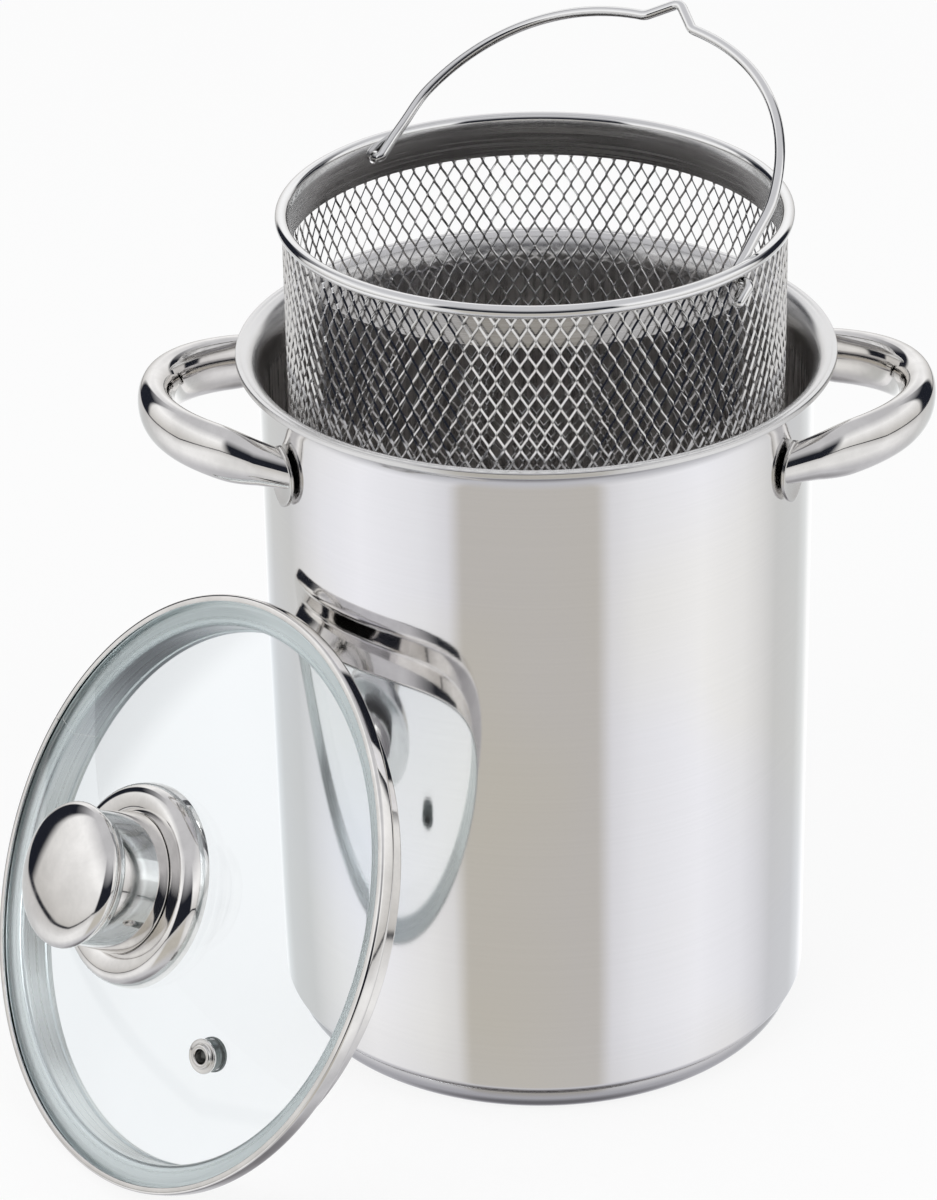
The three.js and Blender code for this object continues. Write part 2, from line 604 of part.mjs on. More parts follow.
function ventEyelet() {
  const tubeEnd = -GLASS_THICKNESS - VENT_RING_HEIGHT - 3 * FIT_GAP;
  const flangeFoot = FIT_GAP + SEAT_GAP;
  const flangeTop = flangeFoot + VENT_FLANGE_HEIGHT;
  const profile = [
    point(VENT_BORE_RADIUS, tubeEnd),
    point(VENT_TUBE_RADIUS, tubeEnd),
    point(VENT_TUBE_RADIUS, flangeFoot),
    point(VENT_FLANGE_RADIUS, flangeFoot),
    point(VENT_FLANGE_RADIUS, flangeTop - EDGE_ROUND),
    point(VENT_FLANGE_RADIUS - EDGE_ROUND, flangeTop),
    point(VENT_BORE_RADIUS + EDGE_ROUND, flangeTop),
    point(VENT_BORE_RADIUS, flangeTop - EDGE_ROUND),
  ];
  return turned(profile, FITTING_SIDES, true).applyMatrix4(ventPlace());
}

function ventRing() {
  const top = -GLASS_THICKNESS - 2 * FIT_GAP;
  const profile = band(VENT_TUBE_RADIUS + FIT_GAP, VENT_RING_RADIUS, top - VENT_RING_HEIGHT, top);
  return turned(profile, FITTING_SIDES, true).applyMatrix4(ventPlace());
}

// Knob dish: follows the dome at its edge and rolls up to a crest round the cap's foot
function knobDish() {
  const bore = SCREW_RADIUS + FIT_GAP;
  const edgeLow = domeHeight(DISH_RADIUS) + FIT_GAP;
  const hubTop = DISH_SEAT + DISH_HUB_HEIGHT;
  const crest = point(KNOB_FOOT_RADIUS + DISH_CREST_WIDTH, hubTop);
  const profile = [
    point(bore, DISH_SEAT),
    point(GASKET_RADIUS + FIT_GAP, DISH_SEAT),
    point(DISH_RADIUS - EDGE_ROUND, edgeLow),
    point(DISH_RADIUS, edgeLow + EDGE_ROUND),
    ...bend(point(DISH_RADIUS, edgeLow + DISH_EDGE), point(DISH_RADIUS, hubTop), crest, BEND_STEPS),
    point(bore, hubTop),
  ];
  return turned(profile, KNOB_SIDES, true);
}

// Knob cap: round foot, slight waist and wide round top, bored from below for its insert
function knobCap() {
  const top = KNOB_SEAT + KNOB_HEIGHT;
  const belly = top - KNOB_CROWN;
  const foot = point(KNOB_FOOT_RADIUS, KNOB_SEAT + KNOB_FOOT_ROUND);
  const waist = point(KNOB_WAIST_RADIUS, belly - KNOB_FLARE);
  const underEdge = point(KNOB_RADIUS - KNOB_EDGE, belly - KNOB_EDGE);
  const face = point(KNOB_FACE_RADIUS, top - KNOB_FACE_CROWN);
  const profile = [
    point(0, KNOB_BORE_TOP),
    point(KNOB_BORE_RADIUS, KNOB_BORE_TOP),
    point(KNOB_BORE_RADIUS, KNOB_SEAT),
    point(KNOB_FOOT_RADIUS - KNOB_FOOT_ROUND, KNOB_SEAT),
    ...bend(foot, point(KNOB_WAIST_RADIUS, waist.y - KNOB_WAIST_DROP), waist, BEND_STEPS),
    underEdge,
    ...bend(point(KNOB_RADIUS, belly), point(KNOB_RADIUS, top - KNOB_EDGE), face, BEND_STEPS),
    point(0, top),
  ];
  return turned(profile, KNOB_SIDES);
}

function knobInsert() {
  const bore = SCREW_RADIUS + FIT_GAP;
  const foot = KNOB_SEAT + FIT_GAP;
  return turned(band(bore, bore + INSERT_WALL, foot, foot + INSERT_LENGTH), FITTING_SIDES, true);
}

function knobGasket() {
  const foot = GLASS_TOP + FIT_GAP;
  const profile = band(SCREW_RADIUS + FIT_GAP, GASKET_RADIUS, foot, foot + GASKET_THICKNESS);
  return turned(profile, FITTING_SIDES, true);
}

// The washer under the glass clears the dome's curve at its own edge
function washerTop() {
  return domeHeight(WASHER_RADIUS) - GLASS_THICKNESS - FIT_GAP;
}

function knobWasher() {
  const top = washerTop();
  const profile = band(SCREW_RADIUS + FIT_GAP, WASHER_RADIUS, top - WASHER_THICKNESS, top);
  return turned(profile, FITTING_SIDES, true);
}

function knobScrew() {
  const headTop = washerTop() - WASHER_THICKNESS - FIT_GAP;
  const headFoot = headTop - SCREW_HEAD_HEIGHT;
  const tip = KNOB_SEAT + INSERT_LENGTH - SCREW_TIP_GAP;
  const profile = [
    point(0, headFoot),
    point(SCREW_HEAD_RADIUS - EDGE_ROUND, headFoot),
    point(SCREW_HEAD_RADIUS, headFoot + EDGE_ROUND),
    point(SCREW_HEAD_RADIUS, headTop),
    point(SCREW_RADIUS, headTop),
    point(SCREW_RADIUS, tip),
    point(0, tip),
  ];
  return turned(profile, FITTING_SIDES);
}

// The lid stands on its band's lower edge and leans its skirt on the pot's wall
function lidPlace() {
  const footLevel = LID_SKIRT_DEPTH + LID_SHEET;
  const height = LID_RADIUS * Math.cos(LID_LEAN) - footLevel * Math.sin(LID_LEAN);
  const distance = POT_RADIUS + REST_GAP + LID_SKIRT_RADIUS * Math.sin(LID_LEAN);
  const turn = new THREE.Group();
  turn.rotation.z = LID_FACING;
  turn.position.set(distance * Math.sin(LID_BEARING), -distance * Math.cos(LID_BEARING), height);
  const lean = new THREE.Group();
  lean.rotation.x = Math.PI / 2 - LID_LEAN;
  turn.add(lean);
  return { turn, lean };
}

const pot = new THREE.Group();
pot.add(piece('pot_shell', potShell(), satin));
pot.add(piece('base_cap', baseCap(), satin));
pot.add(piece('base_core', baseCore(), aluminium));
for (const [side, facing] of [['right', 0], ['left', Math.PI]]) {
  pot.add(piece(`handle_${side}`, handleLoop().rotateZ(facing), polished));
  const frontTurn = side === 'right' ? -PLATE_ANGLE : PLATE_ANGLE;
  pot.add(piece(`handle_plate_${side}_front`, handlePlate(facing + frontTurn), polished));
  pot.add(piece(`handle_plate_${side}_rear`, handlePlate(facing - frontTurn), polished));
}

const basket = new THREE.Group();
basket.add(piece('basket_band', basketBand(), satin));
basket.add(piece('basket_rim_wire', rimWire(), satin));
basket.add(piece('basket_mesh', basketMesh(), satin));
basket.add(piece('basket_hoop', basketHoop(), satin));
basket.add(piece('basket_floor', basketFloor(), satin));

const bailTurn = new THREE.Group();
bailTurn.position.z = BAIL_PIVOT_LEVEL;
bailTurn.rotation.z = BAIL_AZIMUTH;
const bailWire = piece('bail', bail(), polished);
bailWire.position.y = BAIL_OFFSET;
bailWire.rotation.x = -BAIL_LEAN;
bailTurn.add(bailWire);

const { turn: lidTurn, lean: lid } = lidPlace();
lid.add(piece('lid_rim', lidRim(), polished));
lid.add(piece('lid_glass', lidGlass(), clearGlass));
lid.add(piece('knob_cap', knobCap(), polished));
lid.add(piece('knob_dish', knobDish(), polished));
lid.add(piece('knob_insert', knobInsert(), satin));
lid.add(piece('knob_gasket', knobGasket(), silicone));
lid.add(piece('knob_washer', knobWasher(), satin));
lid.add(piece('knob_screw', knobScrew(), satin));
lid.add(piece('vent_eyelet', ventEyelet(), polished));
lid.add(piece('vent_ring', ventRing(), satin));

const asparagusPot = new THREE.Group();
asparagusPot.add(pot, basket, bailTurn, lidTurn);

export default asparagusPot;
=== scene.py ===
# %% [markdown]
# # Asparagus pot
# A tall steel pot with two side handles, a lift-out basket of expanded metal on a wire bail, and a glass
# lid that leans on the pot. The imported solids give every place, size and joint. This script lays fine
# surfaces over them, gives them their finishes, and sets up the studio and the camera.

# %% Load the frame
import math

import bmesh
import bpy
import numpy as np
from mathutils import Matrix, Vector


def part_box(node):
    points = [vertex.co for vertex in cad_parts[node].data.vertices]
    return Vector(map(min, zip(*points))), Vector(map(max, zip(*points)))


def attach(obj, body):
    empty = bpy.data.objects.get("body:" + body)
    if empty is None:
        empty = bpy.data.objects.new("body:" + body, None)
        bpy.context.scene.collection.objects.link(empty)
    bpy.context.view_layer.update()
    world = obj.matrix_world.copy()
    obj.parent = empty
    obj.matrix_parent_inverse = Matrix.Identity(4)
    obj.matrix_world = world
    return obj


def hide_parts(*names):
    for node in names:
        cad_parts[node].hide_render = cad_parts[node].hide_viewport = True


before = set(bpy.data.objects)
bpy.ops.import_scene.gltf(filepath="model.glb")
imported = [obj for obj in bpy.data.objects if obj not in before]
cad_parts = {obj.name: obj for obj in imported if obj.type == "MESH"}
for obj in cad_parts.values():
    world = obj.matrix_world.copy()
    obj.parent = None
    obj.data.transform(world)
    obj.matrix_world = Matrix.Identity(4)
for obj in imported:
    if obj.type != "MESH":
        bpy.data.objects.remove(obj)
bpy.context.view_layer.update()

# %% [markdown]
# ## Surfaces from arrays
# Nearly everything here is turned on a lathe, swept along a bent wire or pressed from sheet. All of these
# are grids: one parameter runs along a profile, the other round the axis or along the path. numpy works out
# the whole grid at once, and only then does Blender get a mesh. Sizes are written in millimetres, as on a
# drawing.

# %% Grid helpers
MM = 0.001
BEND_LIMIT = 0.48
SAME_POINT = 1e-6
SOFT_EDGE = 0.2
UP = np.array((0.0, 0.0, 1.0))


def heading(angle):
    """Level unit vectors at the given angles: (cos a, sin a, 0)."""
    return np.stack([np.cos(angle), np.sin(angle), 0 * angle], -1)


def quads(rows, columns, close_rows=False, close_columns=False):
    """Corner numbers of every cell of a grid numbered row by row. A closed direction joins its ends."""
    row = np.arange(rows - 1 + close_rows)[:, None]
    column = np.arange(columns - 1 + close_columns)
    here = row * columns
    next_row = (row + 1) % rows * columns
    beside = (column + 1) % columns
    corners = [here + column, here + beside, next_row + beside, next_row + column]
    return np.stack(corners, -1).reshape(-1, 4).tolist()


def repeated(faces, points_each, count):
    """The faces of many copies of one shape: its corner numbers, moved on by its points for each copy."""
    return (np.array(faces) + points_each * np.arange(count)[:, None, None]).reshape(-1, 4).tolist()


def unit(vectors):
    """The same directions with a length of one."""
    return vectors / np.linalg.norm(vectors, axis=-1, keepdims=True)


def blend(points, t):
    """The smooth blend of a row of points as t goes from 0 to 1: neighbours are mixed, then the mixes,
    until one is left. Three points give a parabola and four a cubic."""
    while len(points) > 1:
        points = [(1 - t) * np.asarray(a) + t * np.asarray(b) for a, b in zip(points, points[1:])]
    return points[0]


def curve(start, corner, end, steps=10):
    """A bend that leaves the start towards the corner and reaches the end from it."""
    return blend([start, corner, end], np.linspace(0, 1, steps + 1)[:, None])


def arc(centre, radius, first, last, steps):
    """Points on a circle between two angles in degrees, measured from the outward direction."""
    angle = np.radians(np.linspace(first, last, steps + 1))
    return np.array(centre) + radius * np.stack([np.cos(angle), np.sin(angle)], -1)


def rounded(corners, steps=5, closed=True):
    """A path of (across, up, radius) corners. Each corner becomes a bend that starts and ends one tangent
    length, the radius times the tangent of half the turn, from the corner, and at most the limit's share of
    the way to the next."""
    corners = np.array(corners, float)
    place = corners[:, :2]
    back = np.roll(place, 1, 0) - place
    ahead = np.roll(place, -1, 0) - place
    longest = BEND_LIMIT * np.minimum(np.linalg.norm(back, axis=1), np.linalg.norm(ahead, axis=1))
    back = unit(back)
    ahead = unit(ahead)
    turn = np.pi - np.arccos(np.clip((back * ahead).sum(1), -1, 1))
    tangent = np.minimum(corners[:, 2] * np.tan(turn / 2), longest)
    if not closed:
        tangent[[0, -1]] = 0
    t = np.linspace(0, 1, steps + 1)[None, :, None]
    start = (place + back * tangent[:, None])[:, None]
    end = (place + ahead * tangent[:, None])[:, None]
    path = blend([start, place[:, None], end], t).reshape(-1, 2)
    moved = np.linalg.norm(path - np.roll(path, 1, 0), axis=1) > SAME_POINT
    moved[0] = True
    return path[moved]


def turned(profile, sides, ring=True):
    """A profile of (radius, height) swung about the upright axis: x = r cos a, y = r sin a, z = h. A ring's
    profile closes on itself; any other starts and ends on the axis."""
    angle = np.linspace(0, 2 * np.pi, sides, endpoint=False)
    radius, height = np.array(profile).T[..., None]
    points = radius * heading(angle)[:, None] + height * UP
    return points.reshape(-1, 3), quads(sides, len(radius), True, ring)


def drum(radius, low, high, sides):
    """A plain cylinder about the axis between two heights."""
    return turned([(0, low), (radius, low), (radius, high), (0, high)], sides, ring=False)


def collar(bore, radius, low, high, foot_round, sides):
    """A flat ring with softened edges, and a rounding of its own at the outer lower edge."""
    return turned(rounded([(bore, low, SOFT_EDGE), (radius, low, foot_round), (radius, high, SOFT_EDGE),
                           (bore, high, SOFT_EDGE)]), sides)


def loft(grid):
    """Closes a grid of section rings, one row a ring, into a solid with one face over each end."""
    rows, columns = grid.shape[:2]
    caps = [list(range(columns)), list(range((rows - 1) * columns, rows * columns))]
    return grid.reshape(-1, 3), quads(rows, columns, False, True) + caps


def swept(path, across, upright, section, share=None):
    """A closed section carried along a path: each point is path + across * u + upright * v, with (u, v) of
    the section times that station's share. A direction that never changes is given as one row."""
    share = np.ones(len(path)) if share is None else share
    u = share[:, None] * section[None, :, 0]
    v = share[:, None] * section[None, :, 1]
    return path[:, None] + across[:, None] * u[..., None] + upright[:, None] * v[..., None]


def oval(wide, tall, sides):
    """An oval section: (wide cos a, tall sin a) / 2."""
    angle = np.linspace(0, 2 * np.pi, sides, endpoint=False)
    return np.stack([wide / 2 * np.cos(angle), tall / 2 * np.sin(angle)], -1)


# %% [markdown]
# ## From arrays to pieces
# A piece is one mesh object whose place is in its mesh. Doubled points at poles and seams are merged, faces
# are turned outwards, and edges sharper than a crease angle stay crisp while the rest shades smoothly. The
# same helper hangs the piece on the body it rides on and hides the solids it stands for.

# %% Make a piece
MERGE_DISTANCE = 1e-6


def clean_mesh(name, surface):
    """A mesh in metres from points in millimetres, doubled points merged and faces turned outwards."""
    points, faces = surface
    mesh = bpy.data.meshes.new(name)
    mesh.from_pydata((np.asarray(points) * MM).tolist(), [], faces)
    work = bmesh.new()
    work.from_mesh(mesh)
    bmesh.ops.remove_doubles(work, verts=work.verts, dist=MERGE_DISTANCE)
    bmesh.ops.recalc_face_normals(work, faces=work.faces)
    work.to_mesh(mesh)
    work.free()
    return mesh


def make_piece(name, surface, finish, body, slot, *nodes, crease=38):
    """One piece with its finish, smooth up to the crease angle, riding on its body for the named nodes."""
    mesh = clean_mesh(name, surface)
    mesh.shade_smooth()
    mesh.set_sharp_from_angle(angle=math.radians(crease))
    mesh.materials.append(finish)
    piece = bpy.data.objects.new(name, mesh)
    bpy.context.scene.collection.objects.link(piece)
    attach(piece, body)
    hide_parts(*nodes)
    print(f"{name}: {len(mesh.vertices)} points, {len(mesh.polygons)} faces")
    return piece


def drill(piece, surface):
    """Cuts a closed surface out of a piece and keeps the result as the piece's own mesh."""
    tool_mesh = clean_mesh("drill", surface)
    tool = bpy.data.objects.new("drill", tool_mesh)
    bpy.context.scene.collection.objects.link(tool)
    cut = piece.modifiers.new("hole", "BOOLEAN")
    cut.object = tool
    cut.solver = "EXACT"
    shape = piece.evaluated_get(bpy.context.evaluated_depsgraph_get())
    mesh = bpy.data.meshes.new_from_object(shape)
    piece.modifiers.clear()
    piece.data = mesh
    mesh.name = piece.name
    bpy.data.objects.remove(tool)
    bpy.data.meshes.remove(tool_mesh)


def places_of(piece):
    """All of a piece's points in millimetres."""
    places = np.empty(3 * len(piece.data.vertices))
    piece.data.vertices.foreach_get("co", places)
    return places.reshape(-1, 3) / MM


def paint(piece, name, value):
    """Puts one number on each of a piece's points, for its finish to read."""
    layer = piece.data.attributes.new(name, "FLOAT", "POINT")
    layer.data.foreach_set("value", value.astype(np.float32))


# %% [markdown]
# ## Steel
# Everything that shows is stainless steel, brushed or polished more or less. A metal gets its look from
# what it mirrors, so each finish is one metallic shader whose roughness, tint and bump follow a noise that
# is stretched along the brushing. One sheet can carry several finishes, such as a ground inside and a
# polished outside: a mask worked out from the place on the piece lays one finish over another.

# %% Node helpers
STREAK_MIX = 0.6
WHITE = (1.0, 1.0, 1.0, 1.0)


def set_sockets(tree, node, sockets):
    """Sets each named socket to its value, or joins it to another node's output."""
    for name, value in sockets.items():
        if isinstance(value, bpy.types.NodeSocket):
            tree.links.new(value, node.inputs[name])
        else:
            node.inputs[name].default_value = value


def add(tree, kind, sockets=None, **settings):
    """A new node of that kind with its settings and sockets."""
    made = tree.nodes.new("ShaderNode" + kind)
    for name, value in settings.items():
        setattr(made, name, value)
    set_sockets(tree, made, sockets or {})
    return made


def math_node(tree, operation, *values):
    """The result of one arithmetic step."""
    return add(tree, "Math", dict(enumerate(values)), operation=operation).outputs["Value"]


def mixed(tree, factor, low, high):
    """The colour between low and high at a factor from 0 to 1. The Mix node has sockets for each kind of
    value under the same names, so they go by number."""
    return add(tree, "Mix", {0: factor, 6: low, 7: high}, data_type="RGBA").outputs[2]


def spread(tree, factor, low, high):
    """A number between low and high at a factor from 0 to 1."""
    return add(tree, "Mix", {0: factor, 2: low, 3: high}).outputs[0]


def ease(tree, value, start, end):
    """0 at the start and 1 at the end of a stretch of values."""
    return add(tree, "MapRange", {"Value": value, "From Min": start, "From Max": end}).outputs["Result"]


def own_place(tree):
    """The piece's own coordinates."""
    return add(tree, "TexCoord").outputs["Object"]


def streaks(tree, stretch, detail=4.0, turn=(0.0, 0.0, 0.0)):
    """Noise on the piece's own coordinates, stretched so that it runs along the brushing."""
    laid = add(tree, "Mapping", {"Vector": own_place(tree), "Rotation": turn, "Scale": stretch})
    noise = add(tree, "TexNoise", {"Vector": laid.outputs["Vector"], "Scale": 1.0, "Detail": detail,
                                   "Roughness": STREAK_MIX})
    return noise.outputs["Fac"]


def above(start, end):
    """A mask that goes from 0 to 1 between two heights in millimetres."""
    def mask(tree):
        """The mask's value in one finish."""
        height = add(tree, "SeparateXYZ", {"Vector": own_place(tree)}).outputs["Z"]
        return ease(tree, height, start * MM, end * MM)
    return mask


def painted_mask(name):
    """A mask that reads the value painted under that name."""
    return lambda tree: add(tree, "Attribute", attribute_name=name).outputs["Fac"]


def start_finish(name):
    """A new material with its node tree and its shader."""
    finish = bpy.data.materials.new(name)
    finish.use_nodes = True
    return finish, finish.node_tree, finish.node_tree.nodes["Principled BSDF"]


# %% [markdown]
# ## Ways of brushing
# A brushing is a plain dictionary, and a steel is made of one brushing with others laid over it. So the
# polish of the handles can come back on the lid's rim, and a new piece needs only its own numbers. The
# marks drive three things at once, colour, roughness and bump, because on real steel they are the same
# scratches.

# %% Brushed and polished steel
BUMP_STRENGTH = 0.5
BOLD_RANGE = (0.36, 0.64)
SWELL_STRETCH = (45.0, 45.0, 45.0)
LINE_DETAIL = 3.0


def brushing(colour, roughness, stretch, tint, turn=(0.0, 0.0, 0.0), painted=None, bold=False):
    """One way of finishing steel: its colour, its least and greatest roughness, and how the marks lie. The
    tint is how much darker the steel gets in a mark. Marks that follow a painted value keep to its lines.
    Bold marks use only the middle of the noise, so that they stand apart."""
    return dict(colour=colour, roughness=roughness, stretch=stretch, tint=tint, turn=turn, painted=painted,
                bold=bold)


def steel(name, ground, *coats, depth=0.000004, wave=0.0):
    """Steel with one brushing all over and others laid over it, each coat a pair of mask and brushing.
    Marks are raised by the depth. A wave is a slow swell in the surface, as hand polishing leaves."""
    finish, tree, shader = start_finish(name)

    def marks(way):
        """Colour, roughness and relief of one brushing."""
        if way["painted"]:
            line = painted_mask(way["painted"])(tree)
            noise = add(tree, "TexNoise", {"W": line, "Scale": way["stretch"], "Detail": LINE_DETAIL},
                        noise_dimensions="1D").outputs["Fac"]
        else:
            noise = streaks(tree, way["stretch"], turn=way["turn"])
        if way["bold"]:
            noise = ease(tree, noise, *BOLD_RANGE)
        dark = [part * (1 - way["tint"]) for part in way["colour"]]
        toned = mixed(tree, noise, [*dark, 1.0], [*way["colour"], 1.0])
        return toned, spread(tree, noise, *way["roughness"]), noise

    colour, sheen, relief = marks(ground)
    for mask, coat in coats:
        share = mask(tree)
        over_colour, over_sheen, over_relief = marks(coat)
        colour = mixed(tree, share, colour, over_colour)
        sheen = spread(tree, share, sheen, over_sheen)
        relief = spread(tree, share, relief, over_relief)
    raised = add(tree, "Bump", {"Height": relief, "Strength": BUMP_STRENGTH, "Distance": depth})
    if wave:
        swell = streaks(tree, SWELL_STRETCH, detail=1.0)
        slow = add(tree, "Bump", {"Height": swell, "Strength": BUMP_STRENGTH, "Distance": wave})
        set_sockets(tree, raised, {"Normal": slow.outputs["Normal"]})
    set_sockets(tree, shader, {"Base Color": colour, "Metallic": 1.0, "Roughness": sheen,
                               "Normal": raised.outputs["Normal"]})
    return finish


HAND_POLISH = dict(depth=0.000002, wave=0.00002)
polish = brushing((0.885, 0.87, 0.85), (0.035, 0.09), (90, 90, 90), 0.13, bold=True)
bright_draw = brushing((0.88, 0.88, 0.875), (0.05, 0.10), (150, 150, 150), 0.04)
dull_roll = brushing((0.84, 0.825, 0.81), (0.16, 0.30), (20, 20, 1100), 0.20, bold=True)
mirror_steel = steel("mirror_steel", polish, **HAND_POLISH)
wire_steel = steel("wire_steel", bright_draw, depth=0.000001)
sheet_steel = steel("sheet_steel", dull_roll, depth=0.000008)
# The base cap's roughness is its own turned finish, but its darker grey is painted shade, standing in for the
# dim surroundings that the cap mirrors under the body's corner.
base_turning_painted_shade = brushing((0.60, 0.595, 0.61), (0.11, 0.18), (60, 60, 1800), 0.06)
plate_tumbling = brushing((0.74, 0.73, 0.715), (0.15, 0.24), (240, 240, 240), 0.08)
base_steel = steel("base_steel", base_turning_painted_shade)
plate_steel = steel("plate_steel", plate_tumbling, wave=0.00002)
print("finishes:", [material.name for material in bpy.data.materials if material.name.endswith("_steel")])

# %% [markdown]
# ## The body's finishes
# Outside, the wall is polished until it nearly mirrors, with fine rings left by the polishing belt and
# blotches of a cooler cast, as handling and washing leave. The flared rim is satin. Inside it is only
# ground, with slanting scratches, and stays dark. All belong to one sheet, so one material serves them: a
# point is inside where its distance from the axis is less than the middle of the wall.

# %% Body finish
POT_RADIUS = 80.5
POT_WALL = 0.7
FLARE_FOOT = 206.0
BLOOM_STRETCH = (16.0, 16.0, 10.0)
BLOOM_RANGE = (0.40, 0.62)
BELT_MARKS = dict(roughness=(0.045, 0.085), stretch=(6, 6, 1600), tint=0.045)
on_rim = above(FLARE_FOOT + 1, FLARE_FOOT + 5)
below_rim = above(FLARE_FOOT + 4, FLARE_FOOT - 8)


def inside_pot(tree):
    """1 on the inner face of the wall below the rim, 0 elsewhere."""
    flat = add(tree, "VectorMath", {0: own_place(tree), 1: (1.0, 1.0, 0.0)}, operation="MULTIPLY")
    distance = add(tree, "VectorMath", {0: flat.outputs["Vector"]}, operation="LENGTH").outputs["Value"]
    within = math_node(tree, "LESS_THAN", distance, (POT_RADIUS - POT_WALL / 2) * MM)
    return math_node(tree, "MULTIPLY", within, below_rim(tree))


def in_bloom(tree):
    """1 in soft blotches, where the polish has a cooler cast, and 0 between them."""
    return ease(tree, streaks(tree, BLOOM_STRETCH, detail=1.0), *BLOOM_RANGE)


belt_polish = brushing((0.872, 0.86, 0.84), **BELT_MARKS)
cool_polish = brushing((0.862, 0.858, 0.888), **BELT_MARKS)
rim_satin = brushing((0.84, 0.835, 0.83), (0.16, 0.30), (90, 90, 1500), 0.16)
GRIND_TURN = (0.6, 0.4, 0.0)
inner_grind = brushing((0.80, 0.77, 0.75), (0.22, 0.40), (520, 520, 45), 0.42, turn=GRIND_TURN, bold=True)
satin_steel = steel("satin_steel", belt_polish, (in_bloom, cool_polish), (on_rim, rim_satin),
                    (inside_pot, inner_grind))
print("body finish has", len(satin_steel.node_tree.nodes), "nodes")

# %% [markdown]
# ## Pot shell
# The body is one deep-drawn sheet: flat floor, tight corner, straight wall, then a rim that flares out to a
# thick pouring edge with a fine rolled groove. It could be a cylinder with a Solidify modifier, but a
# turned profile keeps the flare and the edge exact, so the section is drawn once and swung round.

# %% Turn the shell
POT_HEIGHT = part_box("pot_shell")[1].z / MM
SHELL_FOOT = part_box("pot_shell")[0].z / MM
RIM_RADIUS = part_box("pot_shell")[1].x / MM
BASE_CORNER = 2.3
INNER_CORNER = 6.0
CORNER_LIFT = 2.0
FLAT_RADIUS = 74.0
RIM_EDGE = 1.9
RIM_LIP = 1.6
RIM_ROUND = 0.45
GROOVE_RADIUS = 85.1
GROOVE_WIDTH = 0.5
GROOVE_DEPTH = 0.25
GROOVE_BEND = 0.1
ROOT_BEND = 0.2
LIP_STEP = 0.1


def shell_profile():
    """The section from the middle of the floor outside, round the corner, up the wall, out along the flare,
    over the grooved edge, and back down inside to the middle of the floor."""
    inner = POT_RADIUS - POT_WALL
    floor = SHELL_FOOT + POT_WALL
    edge_under = POT_HEIGHT - RIM_EDGE
    corner_start = POT_RADIUS - BASE_CORNER
    corner_foot = SHELL_FOOT + CORNER_LIFT
    corner_top = corner_foot + BASE_CORNER
    inner_top = floor + INNER_CORNER
    root = RIM_RADIUS - RIM_LIP
    edge = rounded([(root, edge_under, ROOT_BEND), (RIM_RADIUS, edge_under, RIM_ROUND),
                    (RIM_RADIUS, POT_HEIGHT, RIM_ROUND),
                    (GROOVE_RADIUS + GROOVE_WIDTH, POT_HEIGHT, GROOVE_BEND),
                    (GROOVE_RADIUS, POT_HEIGHT - GROOVE_DEPTH, GROOVE_BEND),
                    (GROOVE_RADIUS - GROOVE_WIDTH, POT_HEIGHT - LIP_STEP, GROOVE_BEND)], closed=False)
    outer_wall = np.linspace((POT_RADIUS, corner_top), (POT_RADIUS, FLARE_FOOT), 9)
    inner_wall = np.linspace((inner, FLARE_FOOT), (inner, inner_top), 9)
    return np.vstack([
        (0, SHELL_FOOT),
        (FLAT_RADIUS, SHELL_FOOT),
        curve((corner_start, corner_foot), (POT_RADIUS, corner_foot), (POT_RADIUS, corner_top)),
        outer_wall[1:-1],
        curve((POT_RADIUS, FLARE_FOOT), (POT_RADIUS, edge_under - RIM_ROUND), (root, edge_under),
              steps=14)[:-1],
        edge,
        curve((GROOVE_RADIUS - 2 * GROOVE_WIDTH, POT_HEIGHT - 2 * LIP_STEP), (inner, POT_HEIGHT - RIM_LIP),
              (inner, FLARE_FOOT), steps=16),
        inner_wall[1:-1],
        curve((inner, inner_top), (inner, floor), (inner - INNER_CORNER, floor)),
        (0, floor),
    ])


pot_wall = turned(shell_profile(), sides=240, ring=False)
make_piece("pot_wall", pot_wall, satin_steel, "pot", "satin_steel", "pot_shell")

# %% [markdown]
# ## Base
# Under the body sits a capsule: a shallow cap, drawn over a disc that spreads the heat, meeting the body in
# a thin dark seam. The cap is turned with its own corner so that the seam stays a real gap. The disc inside
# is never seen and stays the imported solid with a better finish.

# %% Turn the base cap
SEAM_RADIUS = POT_RADIUS - BASE_CORNER
SEAM_WIDTH = 1.0
CAP_LIP = 0.4
FOOT_RADIUS = 72.8
BASE_BELLY = 2.2
CAP_WALL = 0.8
seam_level = SHELL_FOOT + CORNER_LIFT - SEAM_WIDTH
lip_foot = seam_level - CAP_LIP


def cap_side(inset):
    """The cap's side, moved in by the inset: a bend from the foot, past the belly, up to the lip."""
    belly = (SEAM_RADIUS - inset, inset + BASE_BELLY)
    return curve((FOOT_RADIUS - inset, inset), belly, (SEAM_RADIUS - inset, lip_foot), steps=12)


cap_lip = curve((SEAM_RADIUS, lip_foot), (SEAM_RADIUS, seam_level), (SEAM_RADIUS - CAP_LIP, seam_level),
                steps=6)
base_profile = np.vstack([(0, 0), cap_side(0), cap_lip[1:], cap_side(CAP_WALL)[::-1], (0, CAP_WALL)])
base_capsule = turned(base_profile, sides=240, ring=False)
make_piece("base_capsule", base_capsule, base_steel, "pot", "satin_steel", "base_cap")

# %% [markdown]
# ## Side handles
# Each handle is a thick tube pressed oval, bent to a loop and pinched at its two ends. The loop lies flat,
# so its path is two cubic curves in the XY plane. The oval's height grows from the pinched ends to the
# grip, and the whole loop climbs a little outwards. One function makes the right one; the left is turned
# half round the pot.

